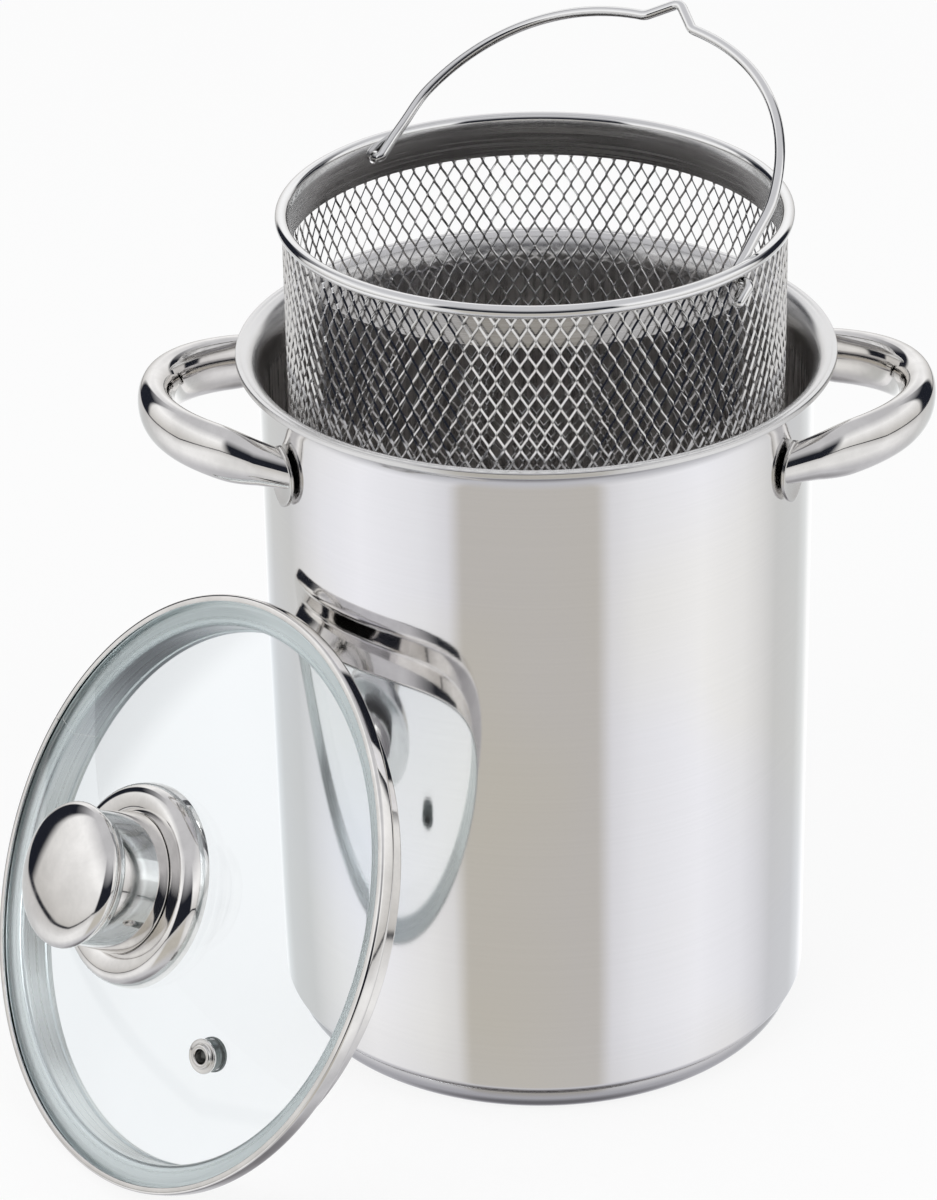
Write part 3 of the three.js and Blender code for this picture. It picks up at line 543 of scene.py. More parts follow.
# %% Sweep the handles
HANDLE_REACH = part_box("handle_right")[1].x / MM
HANDLE_HEIGHT = 17.0
HANDLE_WIDTH = 10.5
HANDLE_LEVEL = 193.5
HANDLE_RISE = 0.12
HANDLE_END_SHARE = 0.66
HANDLE_TAPER = 0.5
HANDLE_SHOULDER = 24.0
HANDLE_DRAW_IN = 5.0
HANDLE_ROUNDING = 20.0
HANDLE_ROOT = 0.12
PLATE_FACE = POT_RADIUS + 1.6
PLATE_ANGLE = math.radians(28)


def smooth_step(value, low, high):
    """0 below low, 1 above high, and the cubic 3t^2 - 2t^3 between."""
    t = np.clip((value - low) / (high - low), 0, 1)
    return t * t * (3 - 2 * t)


def handle_surface(facing, stations=44, sides=40):
    """The loop's rings, with one more ring at each end where the tube, run straight on, meets the plate: a
    point p moved along the tube's direction d by k has p + k d at the plate's distance from the axis."""
    start_x = (POT_RADIUS - POT_WALL) * math.cos(PLATE_ANGLE)
    start_y = POT_RADIUS * math.sin(PLATE_ANGLE)
    apex = HANDLE_REACH - HANDLE_WIDTH / 2
    half = [(start_x, -start_y, 0), (start_x + HANDLE_SHOULDER, HANDLE_DRAW_IN - start_y, 0),
            (apex, -HANDLE_ROUNDING, 0), (apex, 0, 0)]
    front = blend(half, np.linspace(HANDLE_ROOT, 1, stations)[:, None])
    path = np.vstack([front, (front * (1, -1, 1))[-2::-1]])
    along = unit(np.gradient(path, axis=0))
    rings = swept(path, np.cross(along, UP), UP[None], oval(HANDLE_WIDTH, HANDLE_HEIGHT, sides))
    flat = rings[0] * (1, 1, 0)
    reach = flat @ along[0]
    shift = -reach + np.sqrt(reach ** 2 - (flat ** 2).sum(1) + PLATE_FACE ** 2)
    root = rings[0] + shift[:, None] * along[0]
    points, faces = loft(np.concatenate([root[None], rings, (root * (1, -1, 1))[None]]))
    outward = points[:, 0] - start_x
    swelling = smooth_step(outward / (apex - start_x), 0, HANDLE_TAPER)
    share = HANDLE_END_SHARE + (1 - HANDLE_END_SHARE) * swelling
    points[:, 2] = HANDLE_LEVEL + points[:, 2] * share + HANDLE_RISE * outward
    points[:, :2] *= facing
    return points, faces


for side, facing in (("right", 1), ("left", -1)):
    loop = handle_surface(facing)
    make_piece(f"handle_loop_{side}", loop, mirror_steel, "pot", "polished_steel", f"handle_{side}")

# %% [markdown]
# ## Handle plates
# A cupped leaf of thick sheet joins each handle end to the wall. Its face is hollow, with a bright rounded
# lip. A grid of rings from the middle of the face over the lip to the back gives the cup; each ring is the
# leaf outline made smaller, and a ring's depth says how far it stands off the wall.

# %% Press the plates
PLATE_WIDTH = 13.5
PLATE_HEIGHT = 19.0
PLATE_DROP = 1.8
LEAF_POINT = 0.25
CUP_RINGS = np.array([(0.0, 1.6), (0.3, 1.63), (0.55, 1.75), (0.75, 1.95), (0.88, 2.2), (0.94, 2.28),
                      (0.98, 2.2), (1.0, 2.0), (1.0, 1.3), (0.97, 1.1), (0.85, 0.9), (0.6, 0.4), (0.3, 0.1),
                      (0.0, 0.05)])


def plate_surface(angle, sides=56):
    """Each ring point is (share W/2 cos t |cos t|^p, share H/2 sin t) across and up, laid round the wall,
    at the ring's distance off it. The power p draws the sides out to soft points."""
    t = np.linspace(0, 2 * np.pi, sides, endpoint=False)
    share, stand = CUP_RINGS[:, :1], CUP_RINGS[:, 1:]
    across = share * PLATE_WIDTH / 2 * np.cos(t) * np.abs(np.cos(t)) ** LEAF_POINT
    up = share * PLATE_HEIGHT / 2 * np.sin(t)
    round_wall = angle + across / POT_RADIUS
    radius = POT_RADIUS + stand
    level = HANDLE_LEVEL - PLATE_DROP + up
    points = radius[..., None] * heading(round_wall) + level[..., None] * UP
    return points.reshape(-1, 3), quads(len(CUP_RINGS), sides, False, True)


plate_angles = {"right_front": -PLATE_ANGLE, "right_rear": PLATE_ANGLE, "left_front": math.pi + PLATE_ANGLE,
                "left_rear": math.pi - PLATE_ANGLE}
for corner, angle in plate_angles.items():
    make_piece(f"handle_leaf_{corner}", plate_surface(angle), plate_steel, "pot", "polished_steel",
               f"handle_plate_{corner}")

# %% [markdown]
# ## Basket band
# The basket hangs together on a band whose top edge is curled over a stiffening wire into a round bead. The
# section is the sheet followed from the band's foot up and round the curl and back. Two drilled holes take
# the bail.

# %% Turn the band
BASKET_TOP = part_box("basket_band")[1].z / MM
BAND_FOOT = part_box("basket_band")[0].z / MM
BEAD_RADIUS = 1.85
BEAD_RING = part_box("basket_band")[1].x / MM - BEAD_RADIUS
BEAD_LEVEL = BASKET_TOP - BEAD_RADIUS
BAND_SHEET = 0.5
BAND_INNER = BEAD_RING - BEAD_RADIUS
BAND_OUTER = BAND_INNER + BAND_SHEET
CURL_END = -60
BAIL_AZIMUTH = math.radians(-42.5)
BAIL_OFFSET = 6.5
PIVOT_DROP = 5.9
PIVOT_LEVEL = BASKET_TOP - PIVOT_DROP
BAIL_WIRE = 3.0
PIVOT_GAP = 0.45
BAND_TURN = BEAD_LEVEL - 2
axis_along = heading(BAIL_AZIMUTH)
axis_side = heading(BAIL_AZIMUTH + math.pi / 2)
pivot = BAIL_OFFSET * axis_side + PIVOT_LEVEL * UP
on_bead = above(BEAD_LEVEL - BEAD_RADIUS - 0.5, BEAD_LEVEL - BEAD_RADIUS + 0.4)
# The band's sheet gets a much darker grey than the other rolled steel: painted shade, standing in for the
# shade inside the pot. The bead keeps the bright drawn finish.
band_roll_painted_shade = brushing((0.55, 0.54, 0.535), (0.16, 0.30), (20, 20, 1100), 0.20, bold=True)
band_steel = steel("band_steel", band_roll_painted_shade, (on_bead, bright_draw))
bead = (BEAD_RING, BEAD_LEVEL)
band_profile = np.vstack([
    rounded([(BAND_INNER, BAND_TURN, 0), (BAND_INNER, BAND_FOOT, 0.2), (BAND_OUTER, BAND_FOOT, 0.2),
             (BAND_OUTER, BAND_TURN, 0)], closed=False),
    arc(bead, BEAD_RADIUS - BAND_SHEET, 180, CURL_END, steps=20),
    arc(bead, BEAD_RADIUS, CURL_END, 180, steps=28),
])
rim_band = turned(band_profile, sides=200)
basket_band = make_piece("basket_rim_band", rim_band, band_steel, "basket", "satin_steel", "basket_band")
hole_span = np.linspace(-1, 1, 2)[:, None] * axis_along * 2 * BEAD_RING + pivot
hole_width = BAIL_WIRE + 2 * PIVOT_GAP
drill(basket_band, loft(swept(hole_span, axis_side[None], UP[None], oval(hole_width, hole_width, 28))))
print("band drilled:", len(basket_band.data.polygons), "faces")

# %% [markdown]
# ## Basket mesh
# The wall is expanded metal: a sheet is slit in rows and pulled open into diamonds, so every strand lies at
# a slant to the sheet. That slant is why the outside glints and the far side looks dark. Each strand is a
# short four-sided bar from one knuckle to the next; all of them are worked out in one array. There are
# thousands, so a bar has only fourteen faces.

# %% Expand the mesh
MESH_RADIUS = 71.8
MESH_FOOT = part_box("basket_mesh")[0].z / MM
MESH_TOP = BEAD_LEVEL - 0.6
MESH_AROUND = 102
MESH_ROWS = 41
STRAND_WIDTH = 0.62
STRAND_SHEET = 0.32
STRAND_SLANT = math.radians(38)
HOOK_CLEAR = 2.6
STRAND_STATIONS = np.array([0.0, 0.2, 0.8, 1.0])
STRAND_COURSE = np.array([0.0, 0.13, 0.87, 1.0])
STRAND_STEEPNESS = 1.2


def strand_surface(first_row, last_row):
    """Strand k runs from its knuckle to the next row, half a pitch to the right or left, along an S-shaped
    course. Its section is a flat bar whose width leans inwards at the top by the slant."""
    pitch = 2 * np.pi / MESH_AROUND
    step = (MESH_TOP - MESH_FOOT) / MESH_ROWS
    row, column, lean = np.meshgrid(np.arange(first_row, last_row), np.arange(MESH_AROUND), (-0.5, 0.5),
                                    indexing="ij")
    row, column, lean = (a.reshape(-1, 1) for a in (row, column, lean))
    angle = (column + 0.5 * (row % 2) + lean * STRAND_COURSE) * pitch
    level = MESH_FOOT + (row + STRAND_STATIONS) * step
    outward = heading(angle)
    sideways = heading(angle + np.pi / 2)
    run = lean[..., None] * pitch * MESH_RADIUS * STRAND_STEEPNESS
    length = np.sqrt(run ** 2 + step ** 2)
    square = (UP * np.abs(run) - sideways * np.sign(lean)[..., None] * step) / length
    square *= np.sign(square[..., 2:])
    wide = square * math.cos(STRAND_SLANT) - outward * math.sin(STRAND_SLANT)
    thick = square * math.sin(STRAND_SLANT) + outward * math.cos(STRAND_SLANT)
    centre = outward * MESH_RADIUS + UP * level[..., None]
    corners = np.array([(-1, -1), (1, -1), (1, 1), (-1, 1)]) / 2
    bars = (centre[:, :, None] + wide[:, :, None] * STRAND_WIDTH * corners[:, :1]
            + thick[:, :, None] * STRAND_SHEET * corners[:, 1:])
    middle = centre.mean(1) - pivot
    off_axis = np.linalg.norm(middle - (middle @ axis_along)[:, None] * axis_along, axis=1)
    bars = bars[off_axis > HOOK_CLEAR]
    count, stations, sides = bars.shape[:3]
    one = quads(stations, sides, close_columns=True) + [[0, 3, 2, 1], [12, 13, 14, 15]]
    return bars.reshape(-1, 3), repeated(one, stations * sides, count)


half_rows = MESH_ROWS // 2
for part, rows in (("lower", (0, half_rows)), ("upper", (half_rows, MESH_ROWS))):
    strands = strand_surface(*rows)
    make_piece(f"basket_mesh_{part}", strands, wire_steel, "basket", "wire_steel", "basket_mesh", crease=30)

# %% [markdown]
# ## Foot of the basket
# A channel takes the mesh's lower edge, and a drilled sheet closes the bottom. Both are hidden in the pot
# until the basket is lifted out. The channel and the sheet are turned, and all the drain holes are cut out
# in one go with a bundle of pins.

# %% Turn the hoop and the floor
HOOP_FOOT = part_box("basket_hoop")[0].z / MM
HOOP_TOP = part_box("basket_hoop")[1].z / MM
HOOP_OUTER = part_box("basket_hoop")[1].x / MM
HOOP_SHEET = 0.6
HOOP_FLANGE = 7.0
hoop_profile = rounded([
    (HOOP_OUTER - HOOP_FLANGE, HOOP_FOOT, 0.2), (HOOP_OUTER, HOOP_FOOT, 1.2), (HOOP_OUTER, HOOP_TOP, 0.25),
    (HOOP_OUTER - HOOP_SHEET, HOOP_TOP, 0.25), (HOOP_OUTER - HOOP_SHEET, HOOP_FOOT + HOOP_SHEET, 0.7),
    (HOOP_OUTER - HOOP_FLANGE, HOOP_FOOT + HOOP_SHEET, 0.2)])
foot_hoop = turned(hoop_profile, sides=200)
make_piece("basket_foot_hoop", foot_hoop, sheet_steel, "basket", "satin_steel", "basket_hoop")

FLOOR_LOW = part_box("basket_floor")[0].z / MM
FLOOR_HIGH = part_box("basket_floor")[1].z / MM
FLOOR_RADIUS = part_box("basket_floor")[1].x / MM
DRAIN_RADIUS = 5.0
DRAIN_RINGS = ((0.0, 1), (24.0, 6), (48.0, 12))
PIN_EXCESS = 1.0
floor_disc = drum(FLOOR_RADIUS, FLOOR_LOW, FLOOR_HIGH, sides=160)
basket_floor = make_piece("basket_drilled_floor", floor_disc, sheet_steel, "basket", "satin_steel",
                          "basket_floor")
pin, pin_faces = drum(DRAIN_RADIUS, FLOOR_LOW - PIN_EXCESS, FLOOR_HIGH + PIN_EXCESS, sides=40)
places = np.vstack([ring * heading(np.arange(count) * 2 * np.pi / count) for ring, count in DRAIN_RINGS])
pins = (pin[None] + places[:, None]).reshape(-1, 3)
drill(basket_floor, (pins, repeated(pin_faces, len(pin), len(places))))
print("drain holes:", len(places))

# %% [markdown]
# ## Bail
# One length of wire: a hook at each end goes out through the band, then the wire rises in a squarish arch
# to a small kink at the crown that keeps a fork or finger in the middle. It leans on the bead. The route is
# drawn flat, across and up from the pivot, and the leaning plane carries it into place.

# %% Bend the bail
BAIL_LEAN = math.radians(49.3)
BAIL_HEIGHT = 68.2
BAIL_SQUARENESS = 2.25
BAIL_BEND = 1.6
BAIL_HOOK = 6.0
BAIL_BULGE = 1.4
BULGE_HEIGHTS = (12.0, 26.0)
KINK_HEIGHT = 6.5
KINK_WIDTH = 17.4
STOP_RADIUS = BAND_INNER - BAIL_WIRE / 2 - 0.1
STOP_SIDE = BAIL_OFFSET + (BEAD_LEVEL - PIVOT_LEVEL) * math.tan(BAIL_LEAN)
BAIL_HALF_WIDTH = math.sqrt(STOP_RADIUS ** 2 - STOP_SIDE ** 2)
HOOK_REACH = 74.26
HOOK_BEND = 1.9
KINK_FOOT_BEND = 5.0
KINK_TOP_BEND = 3.0


def bail_route(steps=40):
    """The hook, the bend, then the superellipse across = W cos^p, up = H sin^p, where p is 2 over the
    squareness, to the kink, and the same mirrored down the other side."""
    power = 2 / BAIL_SQUARENESS
    last = math.acos((KINK_WIDTH / 2 / BAIL_HALF_WIDTH) ** (1 / power))
    angle = np.linspace(0, last, steps)
    up = BAIL_BEND + (BAIL_HEIGHT - BAIL_BEND) * np.sin(angle) ** power
    across = (BAIL_HALF_WIDTH + BAIL_BULGE * smooth_step(up, *BULGE_HEIGHTS)) * np.cos(angle) ** power
    hook = [(HOOK_REACH, -BAIL_HOOK, 0), (HOOK_REACH, 0, HOOK_BEND), (BAIL_HALF_WIDTH, 0, HOOK_BEND)]
    rise = np.stack([across, up, 0 * up], -1)[2:]
    crown = [(0, BAIL_HEIGHT + KINK_HEIGHT, KINK_TOP_BEND)]
    rise[-1, 2] = KINK_FOOT_BEND
    half = np.vstack([hook, rise])
    corners = np.vstack([half, crown, (half * (-1, 1, 1))[::-1]])
    return rounded(corners, steps=7, closed=False)


def wire_surface(route, width, sides=20):
    """A round wire along a flat route of (across, up), with domed ends."""
    along = unit(np.gradient(route, axis=0))
    dome = np.radians(np.linspace(80, 0, 5))[:-1]
    first = route[0] - along[0] * width / 2 * np.sin(dome)[:, None]
    last = route[-1] + along[-1] * width / 2 * np.sin(dome)[::-1, None]
    route = np.vstack([first, route, last])
    share = np.concatenate([np.cos(dome), np.ones(len(route) - 2 * len(dome)), np.cos(dome)[::-1]])
    along = np.vstack([np.repeat(along[:1], len(dome), 0), along, np.repeat(along[-1:], len(dome), 0)])
    lean_up = UP * math.cos(BAIL_LEAN) + axis_side * math.sin(BAIL_LEAN)
    path = pivot + route[:, :1] * axis_along + route[:, 1:] * lean_up
    normal = -along[:, 1:] * axis_along + along[:, :1] * lean_up
    square = np.cross(axis_along, lean_up)[None]
    return loft(swept(path, normal, square, oval(width, width, sides), share))


make_piece("bail_wire", wire_surface(bail_route(), BAIL_WIRE), wire_steel, "bail", "wire_steel", "bail")

# %% [markdown]
# ## Where the lid leans
# The lid is drawn lying flat about its own axis, as it would sit on the pot, and then carried to its place:
# stood up and tipped back by the lean, turned to face the viewer's left, with its band on the ground and
# its skirt against the wall. One matrix does it for every piece of the lid.

# %% Lid frame
LID_LEAN = math.radians(27.5)
LID_FACING = math.radians(-54.1)
LID_BEARING = math.radians(-52.5)
LID_RADIUS = 86.8
SKIRT_RADIUS = 77.8
SKIRT_DEPTH = 10.2
LID_SHEET = 0.6
BAND_HEIGHT = 5.0
LID_LIP = 2.1
REST_GAP = 0.4
lid_distance = POT_RADIUS + REST_GAP + SKIRT_RADIUS * math.sin(LID_LEAN)
lid_height = LID_RADIUS * math.cos(LID_LEAN) - (SKIRT_DEPTH + LID_SHEET) * math.sin(LID_LEAN)
lid_centre = lid_distance * heading(LID_BEARING - math.pi / 2) + lid_height * UP
lid_turn = np.array(Matrix.Rotation(LID_FACING, 3, "Z") @ Matrix.Rotation(math.pi / 2 - LID_LEAN, 3, "X"))


def on_lid(surface):
    """Carries a surface drawn about the lid's axis to where the lid leans: turned, then moved."""
    points, faces = surface
    return np.asarray(points) @ lid_turn.T + lid_centre, faces


print("lid centre in mm:", lid_centre.round(2))

# %% [markdown]
# ## Lid rim
# A strip of steel is rolled to a section with a skirt that plugs into the pot, a seat for the glass and a
# band folded over the glass edge, then bent to a ring and butt-joined. The joint is real here too: the ring
# stops a hair short of a full turn, so a fine seam shows.

# %% Roll the rim
SEAM_ANGLE = math.radians(167)
SEAM_GAP = 0.25
HEM_HEIGHT = 2.0
HEM_FOLD = 0.5
BAND_TOP = SKIRT_DEPTH + BAND_HEIGHT
SKIRT_INNER = SKIRT_RADIUS - LID_SHEET
FOLD_RADIUS = LID_RADIUS - LID_SHEET


def rim_surface(stations=240):
    """The strip's section carried once round the lid's axis, from one side of the joint to the other. Every
    station is on the axis, so the section's first number is the radius."""
    section = rounded([
        (SKIRT_INNER, HEM_HEIGHT, 0.1), (SKIRT_INNER - HEM_FOLD, HEM_HEIGHT - 0.2, 0.2),
        (SKIRT_INNER - HEM_FOLD, 0, 0.5), (SKIRT_RADIUS, 0, 0.5), (SKIRT_RADIUS, SKIRT_DEPTH, 1.2),
        (LID_RADIUS, SKIRT_DEPTH, 1.6), (LID_RADIUS, BAND_TOP, 1.4), (LID_RADIUS - LID_LIP, BAND_TOP, 0.28),
        (LID_RADIUS - LID_LIP, BAND_TOP - LID_SHEET, 0.28), (FOLD_RADIUS, BAND_TOP - LID_SHEET, 0.8),
        (FOLD_RADIUS, SKIRT_DEPTH + LID_SHEET, 1.0), (SKIRT_INNER, SKIRT_DEPTH + LID_SHEET, 1.8)])
    gap = SEAM_GAP / LID_RADIUS
    angle = SEAM_ANGLE + np.linspace(gap / 2, 2 * np.pi - gap / 2, stations)
    return loft(swept(np.zeros((stations, 3)), heading(angle), UP[None], section))


def paint_inner_side(piece):
    """Paints two values on the rim's points: inner_side, 1 within the folded band or inside the skirt, and
    across_strip, the distance in millimetres across the rolled strip."""
    across, along, height = ((places_of(piece) - lid_centre) @ lid_turn).T
    distance = np.hypot(across, along)
    seat = SKIRT_DEPTH + LID_SHEET / 2
    within = (height > seat) & (height < BAND_TOP - LID_SHEET / 2) & (distance < LID_RADIUS - LID_SHEET / 2)
    inner = within | (distance < SKIRT_RADIUS - LID_SHEET / 2)
    paint(piece, "inner_side", inner)
    paint(piece, "across_strip", distance + height)


# Light and dark stripes along the rolled strip are painted reflections, standing in for the streaky mirroring
# of the rim's inner flange. Their green cast stands in for the glass's tint seen through it.
mill_roll_painted_reflection = brushing((0.87, 0.92, 0.91), (0.22, 0.36), 1.1, 0.38, painted="across_strip")
rim_steel = steel("rim_steel", polish, (painted_mask("inner_side"), mill_roll_painted_reflection), **HAND_POLISH)
lid_rim = make_piece("lid_steel_rim", on_lid(rim_surface()), rim_steel, "lid", "polished_steel", "lid_rim")
paint_inner_side(lid_rim)

# %% [markdown]
# ## Lid glass
# A pressed dome of toughened glass, thinner at the edge that the rim grips, with holes for the knob's screw
# and the vent. Clear glass shows itself only by its reflections and by the green that gathers where one
# looks along the sheet. That green belongs to the depth of the glass, so it is an absorption in the volume
# and not a tint of the surface. Clear glass lets the lamps through, so the pane casts no shadow of its own.

# %% Press the glass
GLASS_THICKNESS = 4.0
GLASS_RISE = 16.4
FIT_GAP = 0.3
GLASS_EDGE = FOLD_RADIUS - FIT_GAP
DOME_RADIUS = GLASS_EDGE - LID_LIP
EDGE_LOW = SKIRT_DEPTH + LID_SHEET + FIT_GAP
EDGE_HIGH = BAND_TOP - LID_SHEET - FIT_GAP
GLASS_TOP = EDGE_HIGH + GLASS_RISE
GLASS_BORE = 3.05
VENT_INSET = 28.8
VENT_DISTANCE = DOME_RADIUS - VENT_INSET
VENT_ANGLE = math.radians(-34.5)
VENT_TUBE = 4.2
GLASS_IOR = 1.5
SMEAR_STRETCH = (30.0, 30.0, 30.0)
SMEAR_ROUGHNESS = 0.004
GLASS_GREEN = {"Color": (0.40, 0.74, 0.93, 1), "Density": 20.0}


def dome(distance):
    """Height of the dome's upper face: a parabola that falls by the rise from the middle to the rim."""
    return GLASS_TOP - GLASS_RISE * (distance / DOME_RADIUS) ** 2


def glass_finish():
    """Clear glass with faint smears, and a green that grows with the depth of glass a ray goes through."""
    finish, tree, shader = start_finish("clear_glass")
    smears = streaks(tree, SMEAR_STRETCH, detail=3.0)
    set_sockets(tree, shader, {"Base Color": WHITE, "Transmission Weight": 1.0, "IOR": GLASS_IOR,
                               "Roughness": spread(tree, smears, 0.0, SMEAR_ROUGHNESS)})
    depth = add(tree, "VolumeAbsorption", GLASS_GREEN)
    set_sockets(tree, tree.nodes["Material Output"], {"Volume": depth.outputs["Volume"]})
    return finish


clear_glass = glass_finish()
out = np.linspace(GLASS_BORE, DOME_RADIUS, 40)
thickness = GLASS_THICKNESS + (EDGE_HIGH - EDGE_LOW - GLASS_THICKNESS) * (out / DOME_RADIUS) ** 4
glass_edge = rounded([(DOME_RADIUS, EDGE_LOW, 0), (GLASS_EDGE, EDGE_LOW, 1.2), (GLASS_EDGE, EDGE_HIGH, 1.2),
                      (DOME_RADIUS, EDGE_HIGH, 0)], closed=False)
glass_profile = np.vstack([np.stack([out, dome(out) - thickness], -1), glass_edge[1:-1],
                           np.stack([out, dome(out)], -1)[::-1]])
glass_dome = on_lid(turned(glass_profile, sides=180))
lid_glass = make_piece("lid_dome_glass", glass_dome, clear_glass, "lid", "clear_glass", "lid_glass")
lid_glass.visible_shadow = False
slope = 2 * GLASS_RISE * VENT_DISTANCE / DOME_RADIUS ** 2
vent_turn = np.array(Matrix.Rotation(VENT_ANGLE, 3, "Z") @ Matrix.Rotation(math.atan(slope), 3, "Y"))
vent_place = VENT_DISTANCE * heading(VENT_ANGLE) + dome(VENT_DISTANCE) * UP


def on_dome(surface):
    """Carries a piece drawn about its own axis to the vent's place, square to the dome."""
    points, faces = surface
    return on_lid((np.asarray(points) @ vent_turn.T + vent_place, faces))


DRILL_REACH = 10
drill(lid_glass, on_dome(drum(VENT_TUBE + FIT_GAP, -DRILL_REACH, DRILL_REACH, sides=40)))
print("glass:", len(lid_glass.data.polygons), "faces")

# %% [markdown]
# ## Steam vent
# A rolled eyelet through the glass with a washer under it, so that steam gets out and the glass isn't
# scratched. Its bore is near black, a painted shade for the deep narrow hole, and its sleeve in the glass is
# a dark green-grey. They are part of the same turned piece, so two painted values say where each finish lies.

# %% Turn the vent
VENT_BORE = 2.1
VENT_LIP = 3.4
VENT_LIP_TOP = 2.0
VENT_FLANGE = 5.0
VENT_FLANGE_FOOT = 0.4
VENT_FLANGE_TOP = 1.3
VENT_GROOVE = 0.3
VENT_RING = 5.0
VENT_SLEEVE = VENT_TUBE + FIT_GAP + 0.1
VENT_RING_HEIGHT = 0.9
BORE_MARGIN = 0.1
SLEEVE_MARGIN = 0.05
vent_end = -GLASS_THICKNESS - VENT_RING_HEIGHT - 3 * FIT_GAP

vent_polish = brushing((0.80, 0.79, 0.77), (0.06, 0.12), (500, 500, 500), 0.06)
# The bore's near-black colour is painted shade, standing in for the shade deep in the narrow hole.
vent_bore_painted_shade = brushing((0.014, 0.013, 0.012), (0.35, 0.55), (900, 900, 900), 0.5)
# The sleeve and the back ring are a dark green-grey with a coarse grain.
vent_dark_green_grey = brushing((0.24, 0.275, 0.27), (0.30, 0.45), (1100, 1100, 1100), 0.6, bold=True)
vent_steel = steel("vent_steel", vent_polish, (painted_mask("sleeve"), vent_dark_green_grey),
                   (painted_mask("bore"), vent_bore_painted_shade))
vent_ring_steel = steel("vent_ring_steel", vent_dark_green_grey)
sleeve_end = 0.1 - GLASS_THICKNESS
eyelet_profile = rounded([
    (VENT_BORE, vent_end, 0.3), (VENT_TUBE, vent_end, 0.3), (VENT_TUBE, sleeve_end, 0.1),
    (VENT_SLEEVE, sleeve_end, 0.1), (VENT_SLEEVE, VENT_FLANGE_FOOT, 0.1),
    (VENT_FLANGE, VENT_FLANGE_FOOT, 0.3), (VENT_FLANGE, VENT_FLANGE_TOP, 0.5),
    (VENT_LIP + VENT_GROOVE, VENT_FLANGE_TOP - VENT_GROOVE, 0.3), (VENT_LIP, VENT_LIP_TOP, 0.5),
    (VENT_BORE, VENT_LIP_TOP, 0.5)])
rolled_eyelet = on_dome(turned(eyelet_profile, sides=48))
eyelet = make_piece("vent_rolled_eyelet", rolled_eyelet, vent_steel, "lid", "polished_steel", "vent_eyelet")
across, along, height = (((places_of(eyelet) - lid_centre) @ lid_turn - vent_place) @ vent_turn).T
distance = np.hypot(across, along)
paint(eyelet, "bore", (distance < VENT_BORE + BORE_MARGIN) & (height < VENT_FLANGE_TOP))
paint(eyelet, "sleeve", height < VENT_FLANGE_FOOT - SLEEVE_MARGIN)
ring_top = -GLASS_THICKNESS - 2 * FIT_GAP
ring_foot = ring_top - VENT_RING_HEIGHT
back_ring = on_dome(collar(VENT_TUBE + FIT_GAP, VENT_RING, ring_foot, ring_top, foot_round=0.3, sides=48))
make_piece("vent_back_ring", back_ring, vent_ring_steel, "lid", "wire_steel", "vent_ring")

# %% [markdown]
# ## Knob
# The knob is spun from sheet and polished bright: a cap with a low domed face that rolls over into a round
# shoulder, a neck that narrows upwards, and a foot that stands in the hollow of a dish with a rolled edge.
# Each is a turned profile. The bends meet without a corner, because on a mirror finish every corner shows
# as a line.

# %% Turn the knob
GASKET_THICKNESS = 0.8
HUB_HEIGHT = 4.7
HOLLOW_DEPTH = 1.5
KNOB_HEIGHT = 24.2
SHOULDER_DROP = 6.0
DISH_SEAT = GLASS_TOP + GASKET_THICKNESS + 2 * FIT_GAP
HUB_TOP = DISH_SEAT + HUB_HEIGHT
HOLLOW_FLOOR = HUB_TOP - HOLLOW_DEPTH
KNOB_SEAT = HUB_TOP + FIT_GAP
KNOB_TOP = KNOB_SEAT + KNOB_HEIGHT
KNOB_RADIUS = 20.9
KNOB_FOOT = 20.4
KNOB_FOOT_SHEET = 1.7
KNOB_WAIST = 18.9
KNOB_BELLY = KNOB_TOP - SHOULDER_DROP
WAIST_DROP = 3.2
FACE_RADIUS = 14.0
FACE_RISE = 1.6
DISH_RADIUS = 29.6
DISH_EDGE = 1.2
CREST_RADIUS = KNOB_FOOT + 4.2
GASKET_EDGE = 14.3
SCREW_RADIUS = 2.05
KNOB_BORE = 4.45
BORE_DEPTH = 12.6
KNOB_CREASE = 50


def cap_profile():
    """From the bore out to the foot, up the cone of the neck, out in an S-shaped bend to the belly, over
    the shoulder and in across the face, a shallow parabola. The shoulder starts upright and ends with the
    face's own slope, twice the rise over the radius."""
    waist = KNOB_BELLY - WAIST_DROP
    foot_low = HOLLOW_FLOOR + FIT_GAP
    foot_inner = KNOB_FOOT - KNOB_FOOT_SHEET
    foot = rounded([(foot_inner, foot_low, 0.3), (KNOB_FOOT, foot_low, 0.3), (KNOB_FOOT, HUB_TOP, 0)],
                   closed=False)
    neck = np.linspace((KNOB_FOOT, HUB_TOP), (KNOB_WAIST, waist), 12)
    high = np.linspace(waist, KNOB_BELLY, 14)
    wide = KNOB_WAIST + (KNOB_RADIUS - KNOB_WAIST) * smooth_step(high, waist, KNOB_BELLY)
    head = np.stack([wide, high], -1)
    face_edge = KNOB_TOP - FACE_RISE
    slope = 2 * FACE_RISE / FACE_RADIUS
    corner = (KNOB_RADIUS, face_edge - slope * (KNOB_RADIUS - FACE_RADIUS))
    shoulder = curve((KNOB_RADIUS, KNOB_BELLY), corner, (FACE_RADIUS, face_edge), steps=24)
    face = np.linspace(FACE_RADIUS, 0, 16)
    crown = KNOB_TOP - FACE_RISE * (face / FACE_RADIUS) ** 2
    return np.vstack([
        (0, KNOB_SEAT + BORE_DEPTH), (KNOB_BORE, KNOB_SEAT + BORE_DEPTH), (KNOB_BORE, KNOB_SEAT),
        (foot_inner, KNOB_SEAT),
        foot, neck[1:], head[1:], shoulder[1:], np.stack([face, crown], -1)[1:],
    ])


